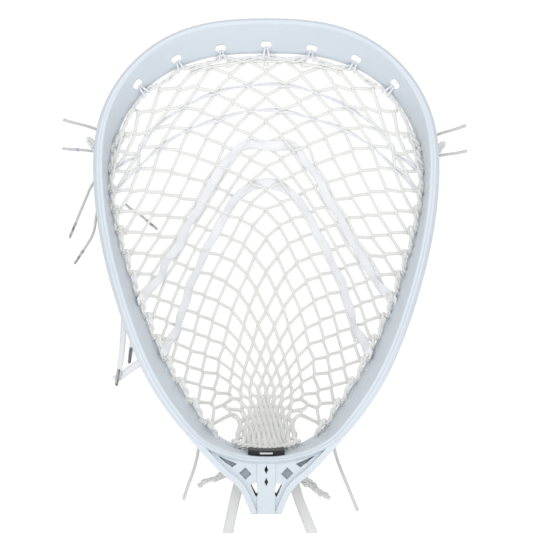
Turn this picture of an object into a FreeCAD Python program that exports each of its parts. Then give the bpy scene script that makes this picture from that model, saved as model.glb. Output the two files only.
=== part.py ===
"""Strung goalie lacrosse head: moulded frame, ball-stop pad, mesh pocket, strings, laces and tails.

Millimetres. The origin is the centre of the shaft socket's mouth. +Z runs up the head to the scoop,
-Y is the face that receives the ball, and the pocket hangs back towards +Y.
"""

import FreeCAD, Part
import Sketcher
import math
import os

from FreeCAD import Placement, Rotation, Vector

os.makedirs("parts", exist_ok=True)
document = FreeCAD.newDocument("LacrosseHead")
sheet = document.addObject("Spreadsheet::Sheet", "Dimensions")

DIMENSIONS = {
    "head_width": 304.8,          # widest distance across the front rail
    "head_length": 436.4,         # socket mouth to the top of the scoop
    "face_y": -20.0,              # front lip of the sidewalls
    "scoop_forward": 3.0,         # how much further forward the scoop's lip stands
    "wall_depth": 48.0,           # front lip to back rail along the sidewalls
    "scoop_depth": 35.0,          # front lip to lower edge of the scoop
    "wall_thickness": 3.0,
    "back_rail_width": 6.5,
    "socket_width": 22.4,         # across the flats, side to side
    "socket_thickness": 25.4,     # across the flats, front to back
    "socket_length": 41.0,
    "barrel_width": 26.3,
    "barrel_thickness": 30.0,
    "barrel_length": 47.0,
    "barrel_facet": 15.8,         # flat strip down the barrel's front
    "screw_hole_diameter": 4.2,
    "screw_height": 14.0,
    "string_hole_diameter": 4.0,
    "scoop_slot_width": 9.4,
    "scoop_slot_height": 4.9,
    "pad_width": 33.0,
    "pad_length": 29.0,
    "pad_thickness": 4.0,
    "pad_corner": 1.6,
    "pad_bow_radius": 105.0,      # the pad follows the bow of the ring
    "mesh_thickness": 3.2,
    "pocket_depth": 104.0,        # how far the pocket sags behind its stringing line
    "cord_diameter": 2.8,
    "lace_tube": 4.0,             # round tube of about the section area of a 9.4 mm flat lace
    "fit_gap": 0.5,
    "lace_tip_diameter": 3.6,
    "lace_tip_length": 13.0,
}
for row, (alias, value) in enumerate(DIMENSIONS.items(), start=1):
    sheet.set("A%d" % row, alias)
    sheet.set("B%d" % row, str(value))
    sheet.setAlias("B%d" % row, alias)
document.recompute()


def size(alias):
    """Value of one driving dimension, read back from the sheet."""
    return float(getattr(sheet, alias))


# ---------------------------------------------------------------- rail outline

# Right half of the front rail from the top of the scoop down to the ball stop:
# (share of half width, share of length, reach of the inner edge, width of the front lip, scoop share)
RAIL_STATIONS = [
    (0.000, 1.0000, 27.8, 8.7, 1.00),
    (0.297, 0.9936, 27.4, 8.7, 1.00),
    (0.569, 0.9638, 26.0, 8.7, 1.00),
    (0.806, 0.8985, 21.9, 8.7, 0.86),
    (0.9625, 0.8022, 17.2, 8.7, 0.36),
    (1.000, 0.6760, 12.0, 8.7, 0.02),
    (0.9665, 0.5674, 13.6, 8.7, 0.00),
    (0.848, 0.4058, 17.6, 8.7, 0.00),
    (0.670, 0.2596, 19.4, 8.7, 0.00),
    (0.494, 0.1730, 17.8, 8.4, 0.00),
    (0.4055, 0.1423, 15.0, 7.9, 0.00),
    (0.2907, 0.1208, 11.9, 7.3, 0.00),
    (0.1765, 0.1082, 9.4, 6.8, 0.00),
    (0.000, 0.1015, 8.1, 6.5, 0.00),
]
RAIL_SAMPLES = 36
SIDE_LIP = 8.7


def chord_shares(points):
    """Share of the whole chord length at which each point lies."""
    lengths = [0.0]
    for start, end in zip(points, points[1:]):
        lengths.append(lengths[-1] + (end - start).Length)
    return [length / lengths[-1] for length in lengths]


def mirrored(point):
    return Vector(-point.x, point.y, point.z)


def symmetric_spline(points, shares, image):
    """Smooth curve through the points, run on past both ends with their mirror images."""
    before = [image(point) for point in points[3:0:-1]]
    after = [image(point) for point in points[-2:-5:-1]]
    low = [-share for share in shares[3:0:-1]]
    high = [2 - share for share in shares[-2:-5:-1]]
    curve = Part.BSplineCurve()
    curve.interpolate(Points=before + points + after, Parameters=low + shares + high)
    return curve


class Rail:
    """Front outer edge of the head, with the section sizes that go with each place on it."""

    def __init__(self):
        half = size("head_width") / 2
        length = size("head_length")
        corners = [Vector(half * across, 0, length * up) for across, up, *_ in RAIL_STATIONS]
        self.shares = chord_shares(corners)
        self.edge = symmetric_spline(corners, self.shares, mirrored)
        sizes = [Vector(*station[2:]) for station in RAIL_STATIONS]
        self.sizes = symmetric_spline(sizes, self.shares, Vector)

    def at(self, share):
        """Point on the edge, outward direction, reach, lip width and scoop share."""
        point = self.edge.value(share)
        along = self.edge.tangent(share)[0]
        outward = Vector(-along.z, 0, along.x)
        sizes = self.sizes.value(share)
        return point, outward.normalize(), sizes.x, sizes.y, min(max(sizes.z, 0.0), 1.0)

    def place(self, share, inward, depth):
        """Point a distance inside the outer edge and a depth behind the front lip."""
        point, outward, _, _, scoop = self.at(share)
        front = size("face_y") - size("scoop_forward") * scoop
        return point - outward * inward + Vector(0, front + depth, 0)


rail = Rail()


def side_section(reach, lip):
    """Sidewall section as (distance inside the outer edge, depth behind the front lip)."""
    web = size("wall_thickness")
    back = size("wall_depth")
    width = size("back_rail_width")
    scale = lip / SIDE_LIP
    inner_slope = (reach - 1.6 - lip) / (back - 12.2)
    outer_start = lip + inner_slope * 9.8 - web
    return [
        (0.0, 9.0), (0.0, 6.0), (0.5, 4.2), (3.2 * scale, 0.9), (4.0 * scale, 0.25), (4.8 * scale, 0.0),
        (5.4 * scale, 0.35), (5.9 * scale, 1.3), (8.0 * scale, 2.2), (lip, 3.2),
        (reach - 1.6, back - 9.0), (reach - 0.5, back - 6.5),
        (reach, back - 4.5), (reach - 0.2, back - 1.5),
        (reach - 1.2, back - 0.2), (reach - width + 1.1, back), (reach - width, back - 1.0),
        (reach - width, back - 6.0), (reach - 1.6 - web, back - 8.0),
        (outer_start, 13.0), (1.2, 10.5),
    ]


def scoop_section(reach):
    """Scoop section: a thin plate that slopes back from a narrow lip to its lower edge."""
    back = size("scoop_depth")
    plate = size("wall_thickness") - 0.2
    slope = (reach - 2.2 - 6.3) / (back - 9.1)
    outer_start = 6.3 + slope * 6.4 - plate * math.hypot(1.0, slope)
    return [
        (0.0, 7.0), (0.0, 4.4), (0.4, 2.6), (1.8, 0.7), (2.4, 0.2), (3.2, 0.0),
        (3.8, 0.15), (4.4, 0.5), (5.6, 1.4), (6.3, 2.6),
        (reach - 2.2, back - 6.5), (reach - 0.8, back - 4.2),
        (reach, back - 2.4), (reach - 0.1, back - 1.2),
        (reach - 0.8, back - 0.4), (reach - 2.4, back), (reach - 3.2, back - 0.4),
        (reach - 3.9, back - 2.0), (reach - 4.2, back - 3.2),
        (outer_start, 9.0), (1.2, 8.4),
    ]


def rail_section(share):
    """Section at one place on the rail, mixed from the sidewall and the scoop, as points in space."""
    _, _, reach, lip, scoop = rail.at(share)
    corners = zip(side_section(reach, lip), scoop_section(reach))
    mixed = [
        (side[0] * (1 - scoop) + top[0] * scoop, side[1] * (1 - scoop) + top[1] * scoop)
        for side, top in corners
    ]
    return [rail.place(share, inward, depth) for inward, depth in mixed]


def closed_solid(faces):
    """Solid inside a closed set of faces, turned the right way out."""
    shell = Part.makeShell(faces)
    shell.sewShape()
    solid = Part.makeSolid(Part.Shell(shell.Faces))
    if solid.Volume < 0:
        solid.reverse()
    return solid


def half_ring():
    """Right half of the egg-shaped ring, skinned lengthwise between its section corners."""
    shares = [index / (RAIL_SAMPLES - 1) for index in range(RAIL_SAMPLES)]
    sections = [rail_section(share) for share in shares]
    edges = []
    for corner in range(len(sections[0])):
        line = [section[corner] for section in sections]
        line[0].x = 0.0
        line[-1].x = 0.0
        edges.append(symmetric_spline(line, shares, mirrored).toShape(0.0, 1.0))
    faces = [Part.makeRuledSurface(*pair) for pair in zip(edges, edges[1:] + edges[:1])]
    for section in (sections[0], sections[-1]):
        faces.append(Part.Face(Part.makePolygon(section + [section[0]])))
    return closed_solid(faces)


# ---------------------------------------------------------------- throat

ARM_EDGE = [(70.0, 69.8), (48.6, 45.7), (34.9, 32.5), (24.1, 23.1), (20.1, 16.4), (16.1, 7.0), (13.15, 0.0)]
ARM_RAIL_WIDTH = 5.4
ARM_FRONT_Y = -17.5
ARM_BACK_Y = 20.0
WEB_FRONT_Y = -14.0
WEB_BACK_Y = 7.0
BOW_OVERLAP = 4.0
THROAT_TOP_SHARE = 0.855
LONG_WINDOW = [(43.3, 51.8), (25.8, 44.3), (30.0, 41.2), (36.3, 45.7)]
SQUARE_WINDOW = [(18.5, 41.3), (12.9, 35.3), (18.3, 30.3), (23.9, 36.2)]
SLOT_WINDOW = [(12.4, 26.7), (8.4, 27.7), (7.6, 17.1), (9.0, 14.9), (14.0, 25.5)]
RECESS_FLOOR_Y = -5.0
DIAMOND_HEIGHTS = [39.2, 28.4]
DIAMOND_HALF_WIDTH = 1.75
DIAMOND_HALF_HEIGHT = 3.75
BARREL_CORNER_DEPTH = 6.0
SOCKET_CORNER = (5.4, 6.2)       # across and along the thickness
ARM_STEPS = 30
BOW_STEPS = 20
CLEAR = 30.0                     # how far a cutting tool runs past the solid


def flat_points(pairs, across_y):
    return [Vector(across, across_y, up) for across, up in pairs]


def prism(points, depth):
    """Straight solid from a closed outline, drawn out along +Y."""
    return Part.Face(Part.makePolygon(points + [points[0]])).extrude(Vector(0, depth, 0))


def arm_edge_curve(across_y):
    points = flat_points(ARM_EDGE, across_y)
    shares = chord_shares(points)
    curve = Part.BSplineCurve()
    curve.interpolate(Points=points, Parameters=shares)
    return curve


def throat_web():
    """Flat web that fills the triangle between the ring, the arm and the barrel."""
    outer = arm_edge_curve(WEB_FRONT_Y)
    outline = [outer.value(index / ARM_STEPS) for index in range(ARM_STEPS + 1)]
    outline.append(Vector(0, WEB_FRONT_Y, 0))
    for index in range(BOW_STEPS + 1):
        share = 1 - (1 - THROAT_TOP_SHARE) * index / BOW_STEPS
        point, outward, *_ = rail.at(share)
        inner = point - outward * BOW_OVERLAP
        outline.append(Vector(max(inner.x, 0.0), WEB_FRONT_Y, inner.z))
    return prism(outline, WEB_BACK_Y - WEB_FRONT_Y)


def arm_rail():
    """Deeper strip along the throat's outer edge, which carries the ring's rail on to the socket."""
    outer = arm_edge_curve(ARM_FRONT_Y)
    edge = []
    inner = []
    for index in range(ARM_STEPS + 1):
        share = index / ARM_STEPS
        point = outer.value(share)
        along = outer.tangent(share)[0]
        edge.append(point)
        inner.append(point + Vector(along.z, 0, -along.x).normalize() * ARM_RAIL_WIDTH)
    strip = prism(edge + inner[::-1], ARM_BACK_Y - ARM_FRONT_Y)
    span = size("head_width")
    above_mouth = Part.makeBox(span, span, span, Vector(0, -span / 2, 0))
    return strip.common(above_mouth)


def octagon_prism(width, thickness, corner_x, corner_y, bottom, length):
    """Octagonal bar along +Z, given its flats and how much each corner takes off."""
    half_x = width / 2
    half_y = thickness / 2
    quarter = [(half_x, half_y - corner_y), (half_x - corner_x, half_y)]
    corners = quarter + [(-x, y) for x, y in quarter[::-1]]
    corners += [(-x, -y) for x, y in quarter] + [(x, -y) for x, y in quarter[::-1]]
    points = [Vector(x, y, bottom) for x, y in corners]
    return Part.Face(Part.makePolygon(points + [points[0]])).extrude(Vector(0, 0, length))


def diamond_cut(height):
    """Small diamond window through the barrel's front wall."""
    wide = DIAMOND_HALF_WIDTH
    high = DIAMOND_HALF_HEIGHT
    corners = [(0, height + high), (wide, height), (0, height - high), (-wide, height)]
    return prism(flat_points(corners, -CLEAR), CLEAR)


# ---------------------------------------------------------------- holes and ribs

SCOOP_SLOTS = [(0.0, 20.6), (0.0785, 21.4), (0.1635, 18.8), (0.248, 14.0)]   # share, inward
FIRST_STRING_HOLE = 0.315
LAST_STRING_HOLE = 0.935
STRING_HOLE_COUNT = 15
STRING_HOLE_DEPTH = 34.0
RIB_SHARES = [0.336, 0.4455, 0.537, 0.602, 0.715, 0.803]
RIB_WIDTH = 5.0


def turned_with_rail(shape, share):
    """Shape drawn about the origin with +X outward, turned and moved onto the rail's edge."""
    point, outward, *_ = rail.at(share)
    angle = math.degrees(math.atan2(-outward.z, outward.x))
    shape.Placement = Placement(point, Rotation(Vector(0, 1, 0), angle))
    return shape


def scoop_slot(share, inward):
    """Slot with round ends through the scoop plate, for one loop of the top string."""
    width = size("scoop_slot_width")
    height = size("scoop_slot_height")
    radius = height / 2
    run = width / 2 - radius
    bar = Part.makeBox(height, 2 * CLEAR, 2 * run, Vector(-inward - radius, -CLEAR, -run))
    ends = [
        Part.makeCylinder(radius, 2 * CLEAR, Vector(-inward, -CLEAR, offset), Vector(0, 1, 0))
        for offset in (-run, run)
    ]
    return turned_with_rail(bar.fuse(ends), share)


def string_hole(share):
    """Round hole through the sidewall, just in front of its back rail."""
    start = Vector(-CLEAR, size("face_y") + STRING_HOLE_DEPTH, 0)
    radius = size("string_hole_diameter") / 2
    return turned_with_rail(Part.makeCylinder(radius, 2 * CLEAR, start, Vector(1, 0, 0)), share)


def rib(share):
    """Post on the outside of the sidewall between the front and back rails."""
    _, _, reach, lip, _ = rail.at(share)
    front = size("face_y") + 8.0
    back = size("face_y") + size("wall_depth") - 2.0
    outside = reach - size("back_rail_width") + 0.3
    inside = reach - size("wall_thickness")
    corners = [(lip - 1.0, front), (2.4, front), (outside, back), (inside, back)]
    points = [Vector(-inward, depth, -RIB_WIDTH / 2) for inward, depth in corners]
    post = Part.Face(Part.makePolygon(points + [points[0]])).extrude(Vector(0, 0, RIB_WIDTH))
    return turned_with_rail(post, share)


def hole_shares():
    step = (LAST_STRING_HOLE - FIRST_STRING_HOLE) / (STRING_HOLE_COUNT - 1)
    return [FIRST_STRING_HOLE + step * index for index in range(STRING_HOLE_COUNT)]


def head_frame_shape():
    """One moulding: ring with scoop, throat arms and web, socket barrel, and all its holes."""
    half = half_ring().fuse([rib(share) for share in RIB_SHARES])
    half = half.fuse([throat_web(), arm_rail()])
    cuts = [scoop_slot(share, inward) for share, inward in SCOOP_SLOTS]
    cuts += [string_hole(share) for share in hole_shares()]
    for window in (LONG_WINDOW, SQUARE_WINDOW):
        cuts.append(prism(flat_points(window, -CLEAR), CLEAR + RECESS_FLOOR_Y))
    half = half.cut(cuts)
    barrel_corner = (size("barrel_width") - size("barrel_facet")) / 2
    barrel = octagon_prism(
        size("barrel_width"), size("barrel_thickness"),
        barrel_corner, BARREL_CORNER_DEPTH, 0.0, size("barrel_length"))
    whole = half.fuse([half.mirror(Vector(0, 0, 0), Vector(1, 0, 0)), barrel])
    socket = octagon_prism(
        size("socket_width"), size("socket_thickness"), *SOCKET_CORNER, -1.0, size("socket_length") + 1.0)
    screw_start = Vector(0, 0, size("screw_height"))
    screw = Part.makeCylinder(size("screw_hole_diameter") / 2, CLEAR, screw_start, Vector(0, 1, 0))
    cuts = [socket, screw] + [diamond_cut(height) for height in DIAMOND_HEIGHTS]
    for side in (1, -1):
        window = [(side * x, z) for x, z in SLOT_WINDOW]
        cuts.append(prism(flat_points(window, -CLEAR), 2 * CLEAR))
    return whole.cut(cuts).removeSplitter()


# ---------------------------------------------------------------- pocket surface

STRING_GAP = 5.2
SHOULDER_SHARE = 0.33
THROAT_SHARE = 0.962
SIDE_STRING_DEPTH = 37.0
SCOOP_STRING_DEPTH = 31.0
POCKET_ROWS = 40
POCKET_COLUMNS = 33
DEEPEST_ROW = 0.605


def string_line(share, gap):
    """Point on the stringing line, a gap inside the rail's inner edge."""
    _, _, reach, _, scoop = rail.at(share)
    depth = SIDE_STRING_DEPTH * (1 - scoop) + SCOOP_STRING_DEPTH * scoop
    return rail.place(share, reach + gap, depth)


def sag(row):
    """Share of the pocket's depth at one row, from the scoop (0) to the throat (1)."""
    if row < DEEPEST_ROW:
        return 0.5 - 0.5 * math.cos(math.pi * row / DEEPEST_ROW)
    return 1 - ((row - DEEPEST_ROW) / (1 - DEEPEST_ROW)) ** 3


def pocket_point(row, across):
    """Point on the pocket's front surface: row 0 scoop to 1 throat, across -1 left to 1 right."""
    side = string_line(SHOULDER_SHARE + (THROAT_SHARE - SHOULDER_SHARE) * row, STRING_GAP)
    top_share = SHOULDER_SHARE * abs(across)
    top = string_line(top_share, STRING_GAP)
    top_corner = string_line(SHOULDER_SHARE, STRING_GAP)
    low_corner = string_line(THROAT_SHARE, STRING_GAP)
    low_share = THROAT_SHARE + (1 - THROAT_SHARE) * (1 - abs(across))
    low = string_line(low_share, STRING_GAP)
    share = abs(across)
    edge = top * (1 - row) + low * row
    flank = Vector(side.x * share, side.y, side.z)
    corners = Vector(top_corner.x * share, top_corner.y, top_corner.z) * (1 - row)
    corners += Vector(low_corner.x * share, low_corner.y, low_corner.z) * row
    point = edge + flank - corners
    point.y += size("pocket_depth") * sag(row) * (1 - across * across) ** 1.15
    return point if across >= 0 else mirrored(point)


def pocket_normal(row, across):
    """Unit direction from the pocket's surface towards the face of the head."""
    step = 0.01
    down = pocket_point(min(row + step, 1), across) - pocket_point(max(row - step, 0), across)
    over = pocket_point(row, min(across + step, 1)) - pocket_point(row, max(across - step, -1))
    normal = down.cross(over).normalize()
    return normal if normal.y < 0 else normal * -1


def mesh_pocket_shape():
    """Bowl of the mesh as one thin closed skin, open at the face."""
    thickness = Vector(0, size("mesh_thickness"), 0)
    front = []
    for i in range(POCKET_ROWS):
        row = i / (POCKET_ROWS - 1)
        front.append([pocket_point(row, 2 * j / (POCKET_COLUMNS - 1) - 1) for j in range(POCKET_COLUMNS)])
    skins = []
    for shift in (Vector(0, 0, 0), thickness):
        surface = Part.BSplineSurface()
        surface.interpolate([[point + shift for point in line] for line in front])
        skins.append(surface.toShape())
    rims = [Part.makeRuledSurface(a, b) for a, b in zip(skins[0].Edges, skins[1].Edges)]
    return closed_solid(skins + rims)


# ---------------------------------------------------------------- cords

def cord_path(route):
    """Straight runs joined by tangent arcs, and the smallest arc radius."""
    edges = []
    start = route[0]
    tightest = None
    for before, corner, after in zip(route, route[1:], route[2:]):
        arriving = (corner - before).normalize()
        leaving = (after - corner).normalize()
        turn = arriving.getAngle(leaving)
        shorter = min((corner - before).Length, (after - corner).Length)
        setback = 0.45 * shorter
        radius = setback / math.tan(turn / 2)
        tightest = radius if tightest is None else min(tightest, radius)
        first = corner - arriving * setback
        last = corner + leaving * setback
        inward = (leaving - arriving).normalize()
        middle = corner + inward * (radius / math.cos(turn / 2) - radius)
        edges.append(Part.LineSegment(start, first).toShape())
        edges.append(Part.Arc(first, middle, last).toShape())
        start = last
    edges.append(Part.LineSegment(start, route[-1]).toShape())
    return Part.Wire(edges), tightest


def cord_shape(name, route, diameter):
    """Plain tube along a route, with its bends printed and its volume tested."""
    path, tightest = cord_path(route)
    direction = (route[1] - route[0]).normalize()
    ring = Part.Wire([Part.Circle(route[0], direction, diameter / 2).toShape()])
    tube = path.makePipeShell([ring], True, False, 2)
    expected = math.pi * diameter ** 2 / 4 * path.Length
    error = abs(tube.Volume - expected) / expected
    print("%-28s length %7.1f  tightest bend %6.1f = %5.1f diameters  volume error %.4f" % (
        name, path.Length, tightest, tightest / diameter, error))
    if error > 0.01:
        raise ValueError("%s: tube volume is off by %.1f %%" % (name, 100 * error))
    return tube


def lifted(row, across, height):
    """Point a height in front of the pocket's surface."""
    return pocket_point(row, across) + pocket_normal(row, across) * height


def on_pocket(x, z):
    """Row and place across of the pocket's point with the given x and z, by Newton's method."""
    row = 0.5
    across = 0.0
    step = 0.001
    for _ in range(30):
        here = pocket_point(row, across)
        by_row = (pocket_point(row + step, across) - here) * (1 / step)
        by_across = (pocket_point(row, across + step) - here) * (1 / step)
        scale = by_row.x * by_across.z - by_across.x * by_row.z
        miss_x = x - here.x
        miss_z = z - here.z
        row += (miss_x * by_across.z - by_across.x * miss_z) / scale
        across += (by_row.x * miss_z - miss_x * by_row.z) / scale
        row = min(max(row, 0.0), 0.998)
        across = min(max(across, 0.0), 0.998)
    return row, across


# Cross strings and laces woven through the mesh: tube size, then the right half of the route
# from its middle to the rail, as (x, z) on the face of the mesh.
WOVEN = {
    "upper_shooting_string": ("cord_diameter", [
        (0, 379), (19, 377.8), (38, 374), (56, 367.5), (73, 358.5), (88.5, 347.5),
        (102.5, 335.5), (115.5, 322.5), (126, 311)]),
    "lower_shooting_string": ("cord_diameter", [
        (0, 361), (19, 359.6), (38, 355.4), (55.5, 348.4), (72, 339), (87.5, 327.5),
        (101.5, 315), (114.5, 301.5), (125, 289.5)]),
    "outer_shooting_lace": ("lace_tube", [
        (0, 329), (17, 326), (31.5, 316), (47, 298), (62.5, 276.5),
        (78, 252.5), (91.5, 228.5), (104, 205)]),
    "inner_shooting_lace": ("lace_tube", [
        (0, 296), (17, 292.4), (31, 280.5), (43.5, 261), (55, 239),
        (65.5, 216), (75, 192.5), (84.5, 168)]),
}
WOVEN_LIFT = 1.2
SIDE_CORD_GAP = 2.1


def woven_route(tube, half_route):
    """Route from rail to rail over the front of the mesh."""
    height = size(tube) / 2 + WOVEN_LIFT
    right = [lifted(*on_pocket(x, z), height) for x, z in half_route]
    return [mirrored(point) for point in right[:0:-1]] + right


def rail_cord_route(first, last, count):
    """Route that keeps beside the rail's inner edge between two places on it."""
    shares = [first + (last - first) * index / (count - 1) for index in range(count)]
    return [string_line(share, SIDE_CORD_GAP) for share in shares]


def top_string_route():
    right = rail_cord_route(SHOULDER_SHARE - 0.02, 0.035, 8)
    return [mirrored(point) for point in right] + right[::-1]


def bottom_string_route():
    """Along the stringing line across the throat, behind the ball-stop pad."""
    right = [string_line(share, SIDE_CORD_GAP + 0.4) + Vector(0, 3, 0) for share in (0.957, 0.970, 0.984)]
    return [mirrored(point) for point in right] + right[::-1]


# Free ends. Each route starts where the end leaves the head and is listed in order, in millimetres.
TAILS = {
    "left_upper_cord_tail": ("cord_diameter", [
        (-145.5, 15, 339.0), (-153, 15.5, 341.6), (-163, 16, 344.9), (-172, 17, 347.0),
        (-181.5, 18, 349.8)]),
    "left_lower_cord_tail": ("cord_diameter", [
        (-148.5, 15, 320.6), (-154, 15.3, 321.3), (-161, 15.8, 322.4), (-168.6, 16.5, 323.0)]),
    "right_upper_cord_tail": ("cord_diameter", [
        (144.5, 15, 333.6), (152, 15.5, 335.9), (161, 16, 339.1), (169.5, 17, 341.3),
        (178.5, 18, 344.6)]),
    "right_lower_cord_tail": ("cord_diameter", [
        (147.5, 15, 316.2), (155, 15.5, 317.6), (163, 16, 319.0), (171, 16.8, 319.9),
        (179.3, 17.5, 321.8)]),
    "left_long_cord_tail": ("cord_diameter", [
        (-147.5, 14, 300.0), (-153, 15, 296.2), (-158, 16.5, 289), (-161.2, 18, 281.6), (-164.6, 19, 273.6),
        (-168, 19.6, 265.8), (-171.4, 19.8, 257.4)]),
    "left_short_cord_tail": ("cord_diameter", [
        (-146.0, 14, 273.5), (-150.3, 15.4, 270.5), (-152.6, 16.8, 265.3), (-153.4, 18.0, 259),
        (-154.3, 18.8, 252), (-156.8, 19.3, 245), (-160.6, 19.5, 238.6), (-164.6, 19.6, 232.6)]),
    "left_inner_cord_tail": ("cord_diameter", [
        (-126.5, 29.5, 274.0), (-123, 31.5, 270.3), (-118, 34, 267.8), (-113.5, 37.5, 264.2),
        (-109, 41.5, 260.2)]),
    "left_outer_lace_tail": ("lace_tube", [
        (-126, 22, 186.0), (-128.5, 27, 176), (-129.3, 31, 163), (-130.2, 33.5, 149), (-131.6, 34.5, 136),
        (-133.6, 35, 124.5)]),
    "left_middle_lace_tail": ("lace_tube", [
        (-117.5, 25, 166.0), (-120.5, 31, 156), (-122.5, 35, 144)]),
    "left_folded_lace_tail": ("lace_tube", [
        (-108.0, 27, 137.0), (-114.5, 32.5, 131.2), (-122.5, 37, 125.6), (-131, 39, 119.6),
        (-138.0, 40, 115.0)]),
    "left_bottom_cord_tail": ("cord_diameter", [
        (-60.5, 31, 60.0), (-61.5, 33.5, 52), (-63.6, 34.5, 41), (-67.4, 34.8, 29), (-71.8, 34.9, 17.5),
        (-74.8, 35, 7.5)]),
    "right_bottom_cord_tail": ("cord_diameter", [
        (60.5, 31, 60.0), (61.8, 33.5, 52), (64.9, 34.5, 41), (70.3, 34.8, 27.3), (76.4, 34.9, 12.5),
        (82.4, 35, -2.5)]),
    "left_bottom_lace_tail": ("lace_tube", [
        (-20.5, 30, 36.0), (-23.6, 33, 26), (-27.6, 34.2, 11), (-31.6, 34.6, -7), (-35.2, 34.8, -25),
        (-37.0, 35, -44), (-37.8, 35.6, -62)]),
    "right_bottom_lace_tail": ("lace_tube", [
        (20.5, 30, 36.0), (24.0, 33, 26), (29.0, 34.2, 8), (35.6, 34.6, -9), (42.6, 34.8, -26),
        (47.4, 35, -44), (49.0, 35.6, -62)]),
    "left_mesh_tail": ("lace_tube", [
        (-22.0, 24, 39.0), (-32.5, 25, 32.5), (-42.6, 26, 28.2), (-52.5, 26.6, 25.2), (-60.6, 27, 20.8)]),
    "right_mesh_tail": ("lace_tube", [
        (22.0, 24, 36.0), (30.5, 25, 29.6), (38.0, 26, 22.6), (46.6, 26.6, 15.6), (56.4, 27, 9.4)]),
}

# Hard tips crimped on the ends of some tails.
TIPPED_TAILS = [
    "left_long_cord_tail", "left_short_cord_tail", "left_inner_cord_tail",
    "left_outer_lace_tail", "left_middle_lace_tail", "left_lower_cord_tail",
]

# Doubled-over knots on the outside of the rails: start and end of each.
KNOTS = {
    "left_rail_knot": ((-149.0, 9, 320.5), (-159.5, 9.5, 332.5)),
    "right_rail_knot": ((149.0, 9, 317.5), (159.0, 9.5, 328.5)),
}
KNOT_DIAMETER = 5.6


def knot_shape(reach):
    """Rounded lug of the size of the doubled knot, from its own start to its far end."""
    body = Part.makeCylinder(KNOT_DIAMETER / 2, reach.Length, Vector(0, 0, 0), reach)
    return body.fuse(Part.makeSphere(KNOT_DIAMETER / 2, reach)).removeSplitter()


# ---------------------------------------------------------------- document objects

PAD_SETBACK = 6.0
SIDE_STRING_SHARES = (SHOULDER_SHARE + 0.02, 0.93)
SIDE_STRING_POINTS = 22


def add_shape(name, shape, base=Vector(0, 0, 0)):
    """Sub-part whose shape is worked out in this file, drawn about its own base point."""
    part = document.addObject("Part::Feature", name)
    part.Label = name
    part.Shape = shape
    part.Placement = Placement(base, Rotation())
    return part


def add_pad():
    """Foam ball-stop pad: a rounded slab lying on the ring's inner wall above the throat."""
    body = document.addObject("PartDesign::Body", "ball_stop_pad")
    body.Label = "ball_stop_pad"
    plane = [item for item in body.Origin.OriginFeatures if item.Role == "XZ_Plane"][0]
    sketch = body.newObject("Sketcher::SketchObject", "PadOutline")
    sketch.AttachmentSupport = [(plane, "")]
    sketch.MapMode = "FlatFace"
    outer = size("pad_bow_radius")
    inner = outer - size("pad_thickness")
    spread = math.asin(size("pad_width") / 2 / outer)
    span = (-math.pi / 2 - spread, -math.pi / 2 + spread)
    under, over = [
        Part.ArcOfCircle(Part.Circle(Vector(0, outer, 0), Vector(0, 0, 1), radius), *span)
        for radius in (outer, inner)
    ]
    right_end = Part.LineSegment(under.EndPoint, over.EndPoint)
    left_end = Part.LineSegment(over.StartPoint, under.StartPoint)
    sketch.addGeometry([under, right_end, over, left_end], False)
    sketch.addConstraint([
        Sketcher.Constraint("Coincident", 0, 2, 1, 1), Sketcher.Constraint("Coincident", 1, 2, 2, 2),
        Sketcher.Constraint("Coincident", 2, 1, 3, 1), Sketcher.Constraint("Coincident", 3, 2, 0, 1),
        Sketcher.Constraint("Coincident", 0, 3, 2, 3), Sketcher.Constraint("PointOnObject", 0, 3, -2),
    ])
    radius = sketch.addConstraint(Sketcher.Constraint("Radius", 0, outer))
    inside = sketch.addConstraint(Sketcher.Constraint("Radius", 2, inner))
    height = sketch.addConstraint(Sketcher.Constraint("DistanceY", -1, 1, 0, 3, outer))
    sketch.setExpression("Constraints[%d]" % radius, "Dimensions.pad_bow_radius")
    sketch.setExpression("Constraints[%d]" % inside, "Dimensions.pad_bow_radius - Dimensions.pad_thickness")
    sketch.setExpression("Constraints[%d]" % height, "Dimensions.pad_bow_radius")
    pad = body.newObject("PartDesign::Pad", "PadLength")
    pad.Profile = sketch
    pad.setExpression("Length", "Dimensions.pad_length")
    pad.Reversed = True
    document.recompute()
    rounding = body.newObject("PartDesign::Fillet", "PadCorners")
    shortest = 1.5 * size("pad_thickness")
    corners = ["Edge%d" % (i + 1) for i, edge in enumerate(pad.Shape.Edges) if edge.Length < shortest]
    rounding.Base = (pad, corners)
    rounding.setExpression("Radius", "Dimensions.pad_corner")
    body.Tip = rounding
    floor = rail.place(1.0, rail.at(1.0)[3], 0).z
    front = size("face_y") + PAD_SETBACK
    body.Placement = Placement(Vector(0, front, floor + size("fit_gap")), Rotation())
    return body


def add_tip(name, route):
    """Hard sleeve on the last stretch of a tail, bound to the sheet's sizes."""
    last = Vector(*route[-1])
    direction = (last - Vector(*route[-2])).normalize()
    tip = document.addObject("Part::Cylinder", name)
    tip.Label = name
    tip.setExpression("Radius", "Dimensions.lace_tip_diameter / 2")
    tip.setExpression("Height", "Dimensions.lace_tip_length")
    tip.Placement = Placement(last, Rotation(Vector(0, 0, 1), direction))
    return tip


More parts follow.
